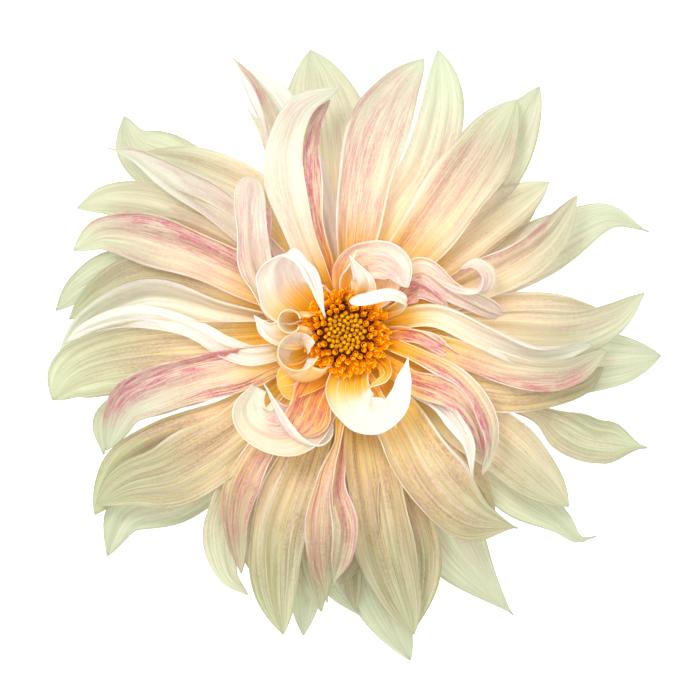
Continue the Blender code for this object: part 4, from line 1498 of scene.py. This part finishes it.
@dataclass
class Studio:
    """A pale lit floor, soft light and the camera straight above, in metres and watts.

    Attributes:
        middle: the disc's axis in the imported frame.
        lamps: name, place, power and size of each soft lamp.
        frame_width: what the picture shows from side to side at face_height.
        camera_shift: how far the camera stands from the disc's axis.
        heart_reach: how far from that axis the heart lamp shines.
    """

    middle: Vector
    floor_size: float = 4.0
    floor_glow: float = 0.75
    sky: float = 0.98
    lamps: tuple = (("key", (-0.5, 0.6, 1.5), 15.5, 0.5), ("fill", (0.8, -0.5, 1.5), 5.0, 1.4))
    camera_height: float = 1.52
    face_height: float = 0.02
    frame_width: float = 0.245
    camera_shift: tuple = (0.00105, -0.00595)
    heart_height: float = 1.4
    heart_reach: float = 0.075
    heart_power: float = 40.0
    heart_size: float = 0.03

    def build(self) -> None:
        """Set the floor, the lights and the camera."""
        self.add_floor()
        self.add_lights()
        self.add_camera()

    def add_floor(self) -> None:
        """Lay the floor."""
        shape = bmesh.new()
        bmesh.ops.create_grid(shape, x_segments=1, y_segments=1, size=self.floor_size / 2)
        board = NodeBoard("floor_white")
        shader = board.add("BsdfPrincipled", {
            "Base Color": (0.9, 0.9, 0.9, 1), "Roughness": 0.8,
            "Emission Color": (1, 1, 1, 1), "Emission Strength": self.floor_glow})
        board.add("OutputMaterial", {"Surface": shader.outputs["BSDF"]})
        floor = add_piece("floor", shape, (board.material,))

    def add_lights(self) -> None:
        """Add the sky, the soft lamps and a lamp over the bloom's heart."""
        scene = bpy.context.scene
        scene.view_settings.view_transform = "Standard"
        scene.world = bpy.data.worlds.new("studio")
        scene.world.use_nodes = True
        sky = scene.world.node_tree.nodes["Background"]
        sky.inputs["Color"].default_value = (1.0, 1.0, 1.0, 1)
        sky.inputs["Strength"].default_value = self.sky
        for name, place, power, size in self.lamps:
            lamp = bpy.data.lights.new(name, "AREA")
            lamp.energy = power
            lamp.size = size
            aim = (-Vector(place)).to_track_quat("-Z", "Y").to_euler()
            self.hang(name, lamp, place).rotation_euler = aim
        lamp = bpy.data.lights.new("heart", "SPOT")
        lamp.energy = self.heart_power
        lamp.spot_size = 2 * math.atan(self.heart_reach / self.heart_height)
        lamp.spot_blend = 1.0
        lamp.shadow_soft_size = self.heart_size
        self.hang("heart", lamp, self.middle + Vector((0, 0, self.heart_height)))

    def add_camera(self) -> None:
        """Hang the camera over the bloom."""
        lens = bpy.data.cameras.new("camera")
        distance = self.camera_height - self.face_height
        lens.lens = lens.sensor_width * distance / self.frame_width
        lens.clip_end = 20
        place = self.middle + Vector((*self.camera_shift, self.camera_height))
        bpy.context.scene.camera = self.hang("camera", lens, place)

    def hang(self, name: str, data: bpy.types.ID, place: tuple) -> bpy.types.Object:
        """Hang a lamp or a camera, which looks down, at a place.

        Args:
            name: its name.
            data: the lamp or the camera.
            place: where it hangs.

        Returns:
            Its object.
        """
        holder = bpy.data.objects.new(name, data)
        holder.location = place
        bpy.context.scene.collection.objects.link(holder)
        return holder


def main() -> None:
    """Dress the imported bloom."""
    logging.basicConfig(level=logging.INFO, format="%(message)s")
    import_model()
    low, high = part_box("stem_stub")
    middle = Vector(((low.x + high.x) / 2, (low.y + high.y) / 2, 0))
    face = PetalFinish("petal_face", depth=0.9, honey=1.0).make()
    back = PetalFinish("petal_reverse", depth=1.0, honey=0.0).make()
    flesh = PlainFinish("receptacle_flesh", (226, 190, 96), (196, 160, 70)).make()
    green = PlainFinish("calyx_green", (132, 156, 78), (88, 120, 52), thin=0.15).make()
    skin = PlainFinish("neck_green", (128, 152, 74), (92, 122, 54), (1500.0, 1500.0, 200.0)).make()
    pith = PlainFinish("neck_pith", (206, 214, 160), (176, 190, 126)).make()
    disc_finishes = (
        PlainFinish("disc_shadow", (92, 42, 0), (50, 21, 0)).make(),
        PlainFinish("bud_olive", (228, 166, 12), (164, 98, 0)).make(),
        PlainFinish("floret_orange", (255, 172, 8), (246, 136, 0), thin=0.25).make(),
        PlainFinish("pollen", (255, 186, 30), (244, 150, 4)).make(),
    )
    for row in Row:
        sheets = PetalSheets(row, middle, finishes=(face, back)).build()
        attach(sheets, BODY)
        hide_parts("ray_petals")
        LOG.info("%s: %d petals", sheets.name, sum(petal.row is row for petal in PETALS))
    for piece, node, slot in ((Receptacle(middle).build(flesh), "ray_petals", "petals"),
                              (Disc(middle).build(disc_finishes), "disc_florets", "florets"),
                              (Calyx(middle).build(green), "calyx_bracts", "calyx"),
                              (Neck(middle).build(skin, pith), "stem_stub", "stem")):
        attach(piece, BODY)
        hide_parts(node)
        LOG.info("%s: %d faces", piece.name, len(piece.data.polygons))
    Studio(middle).build()


if __name__ == "__main__":
    main()
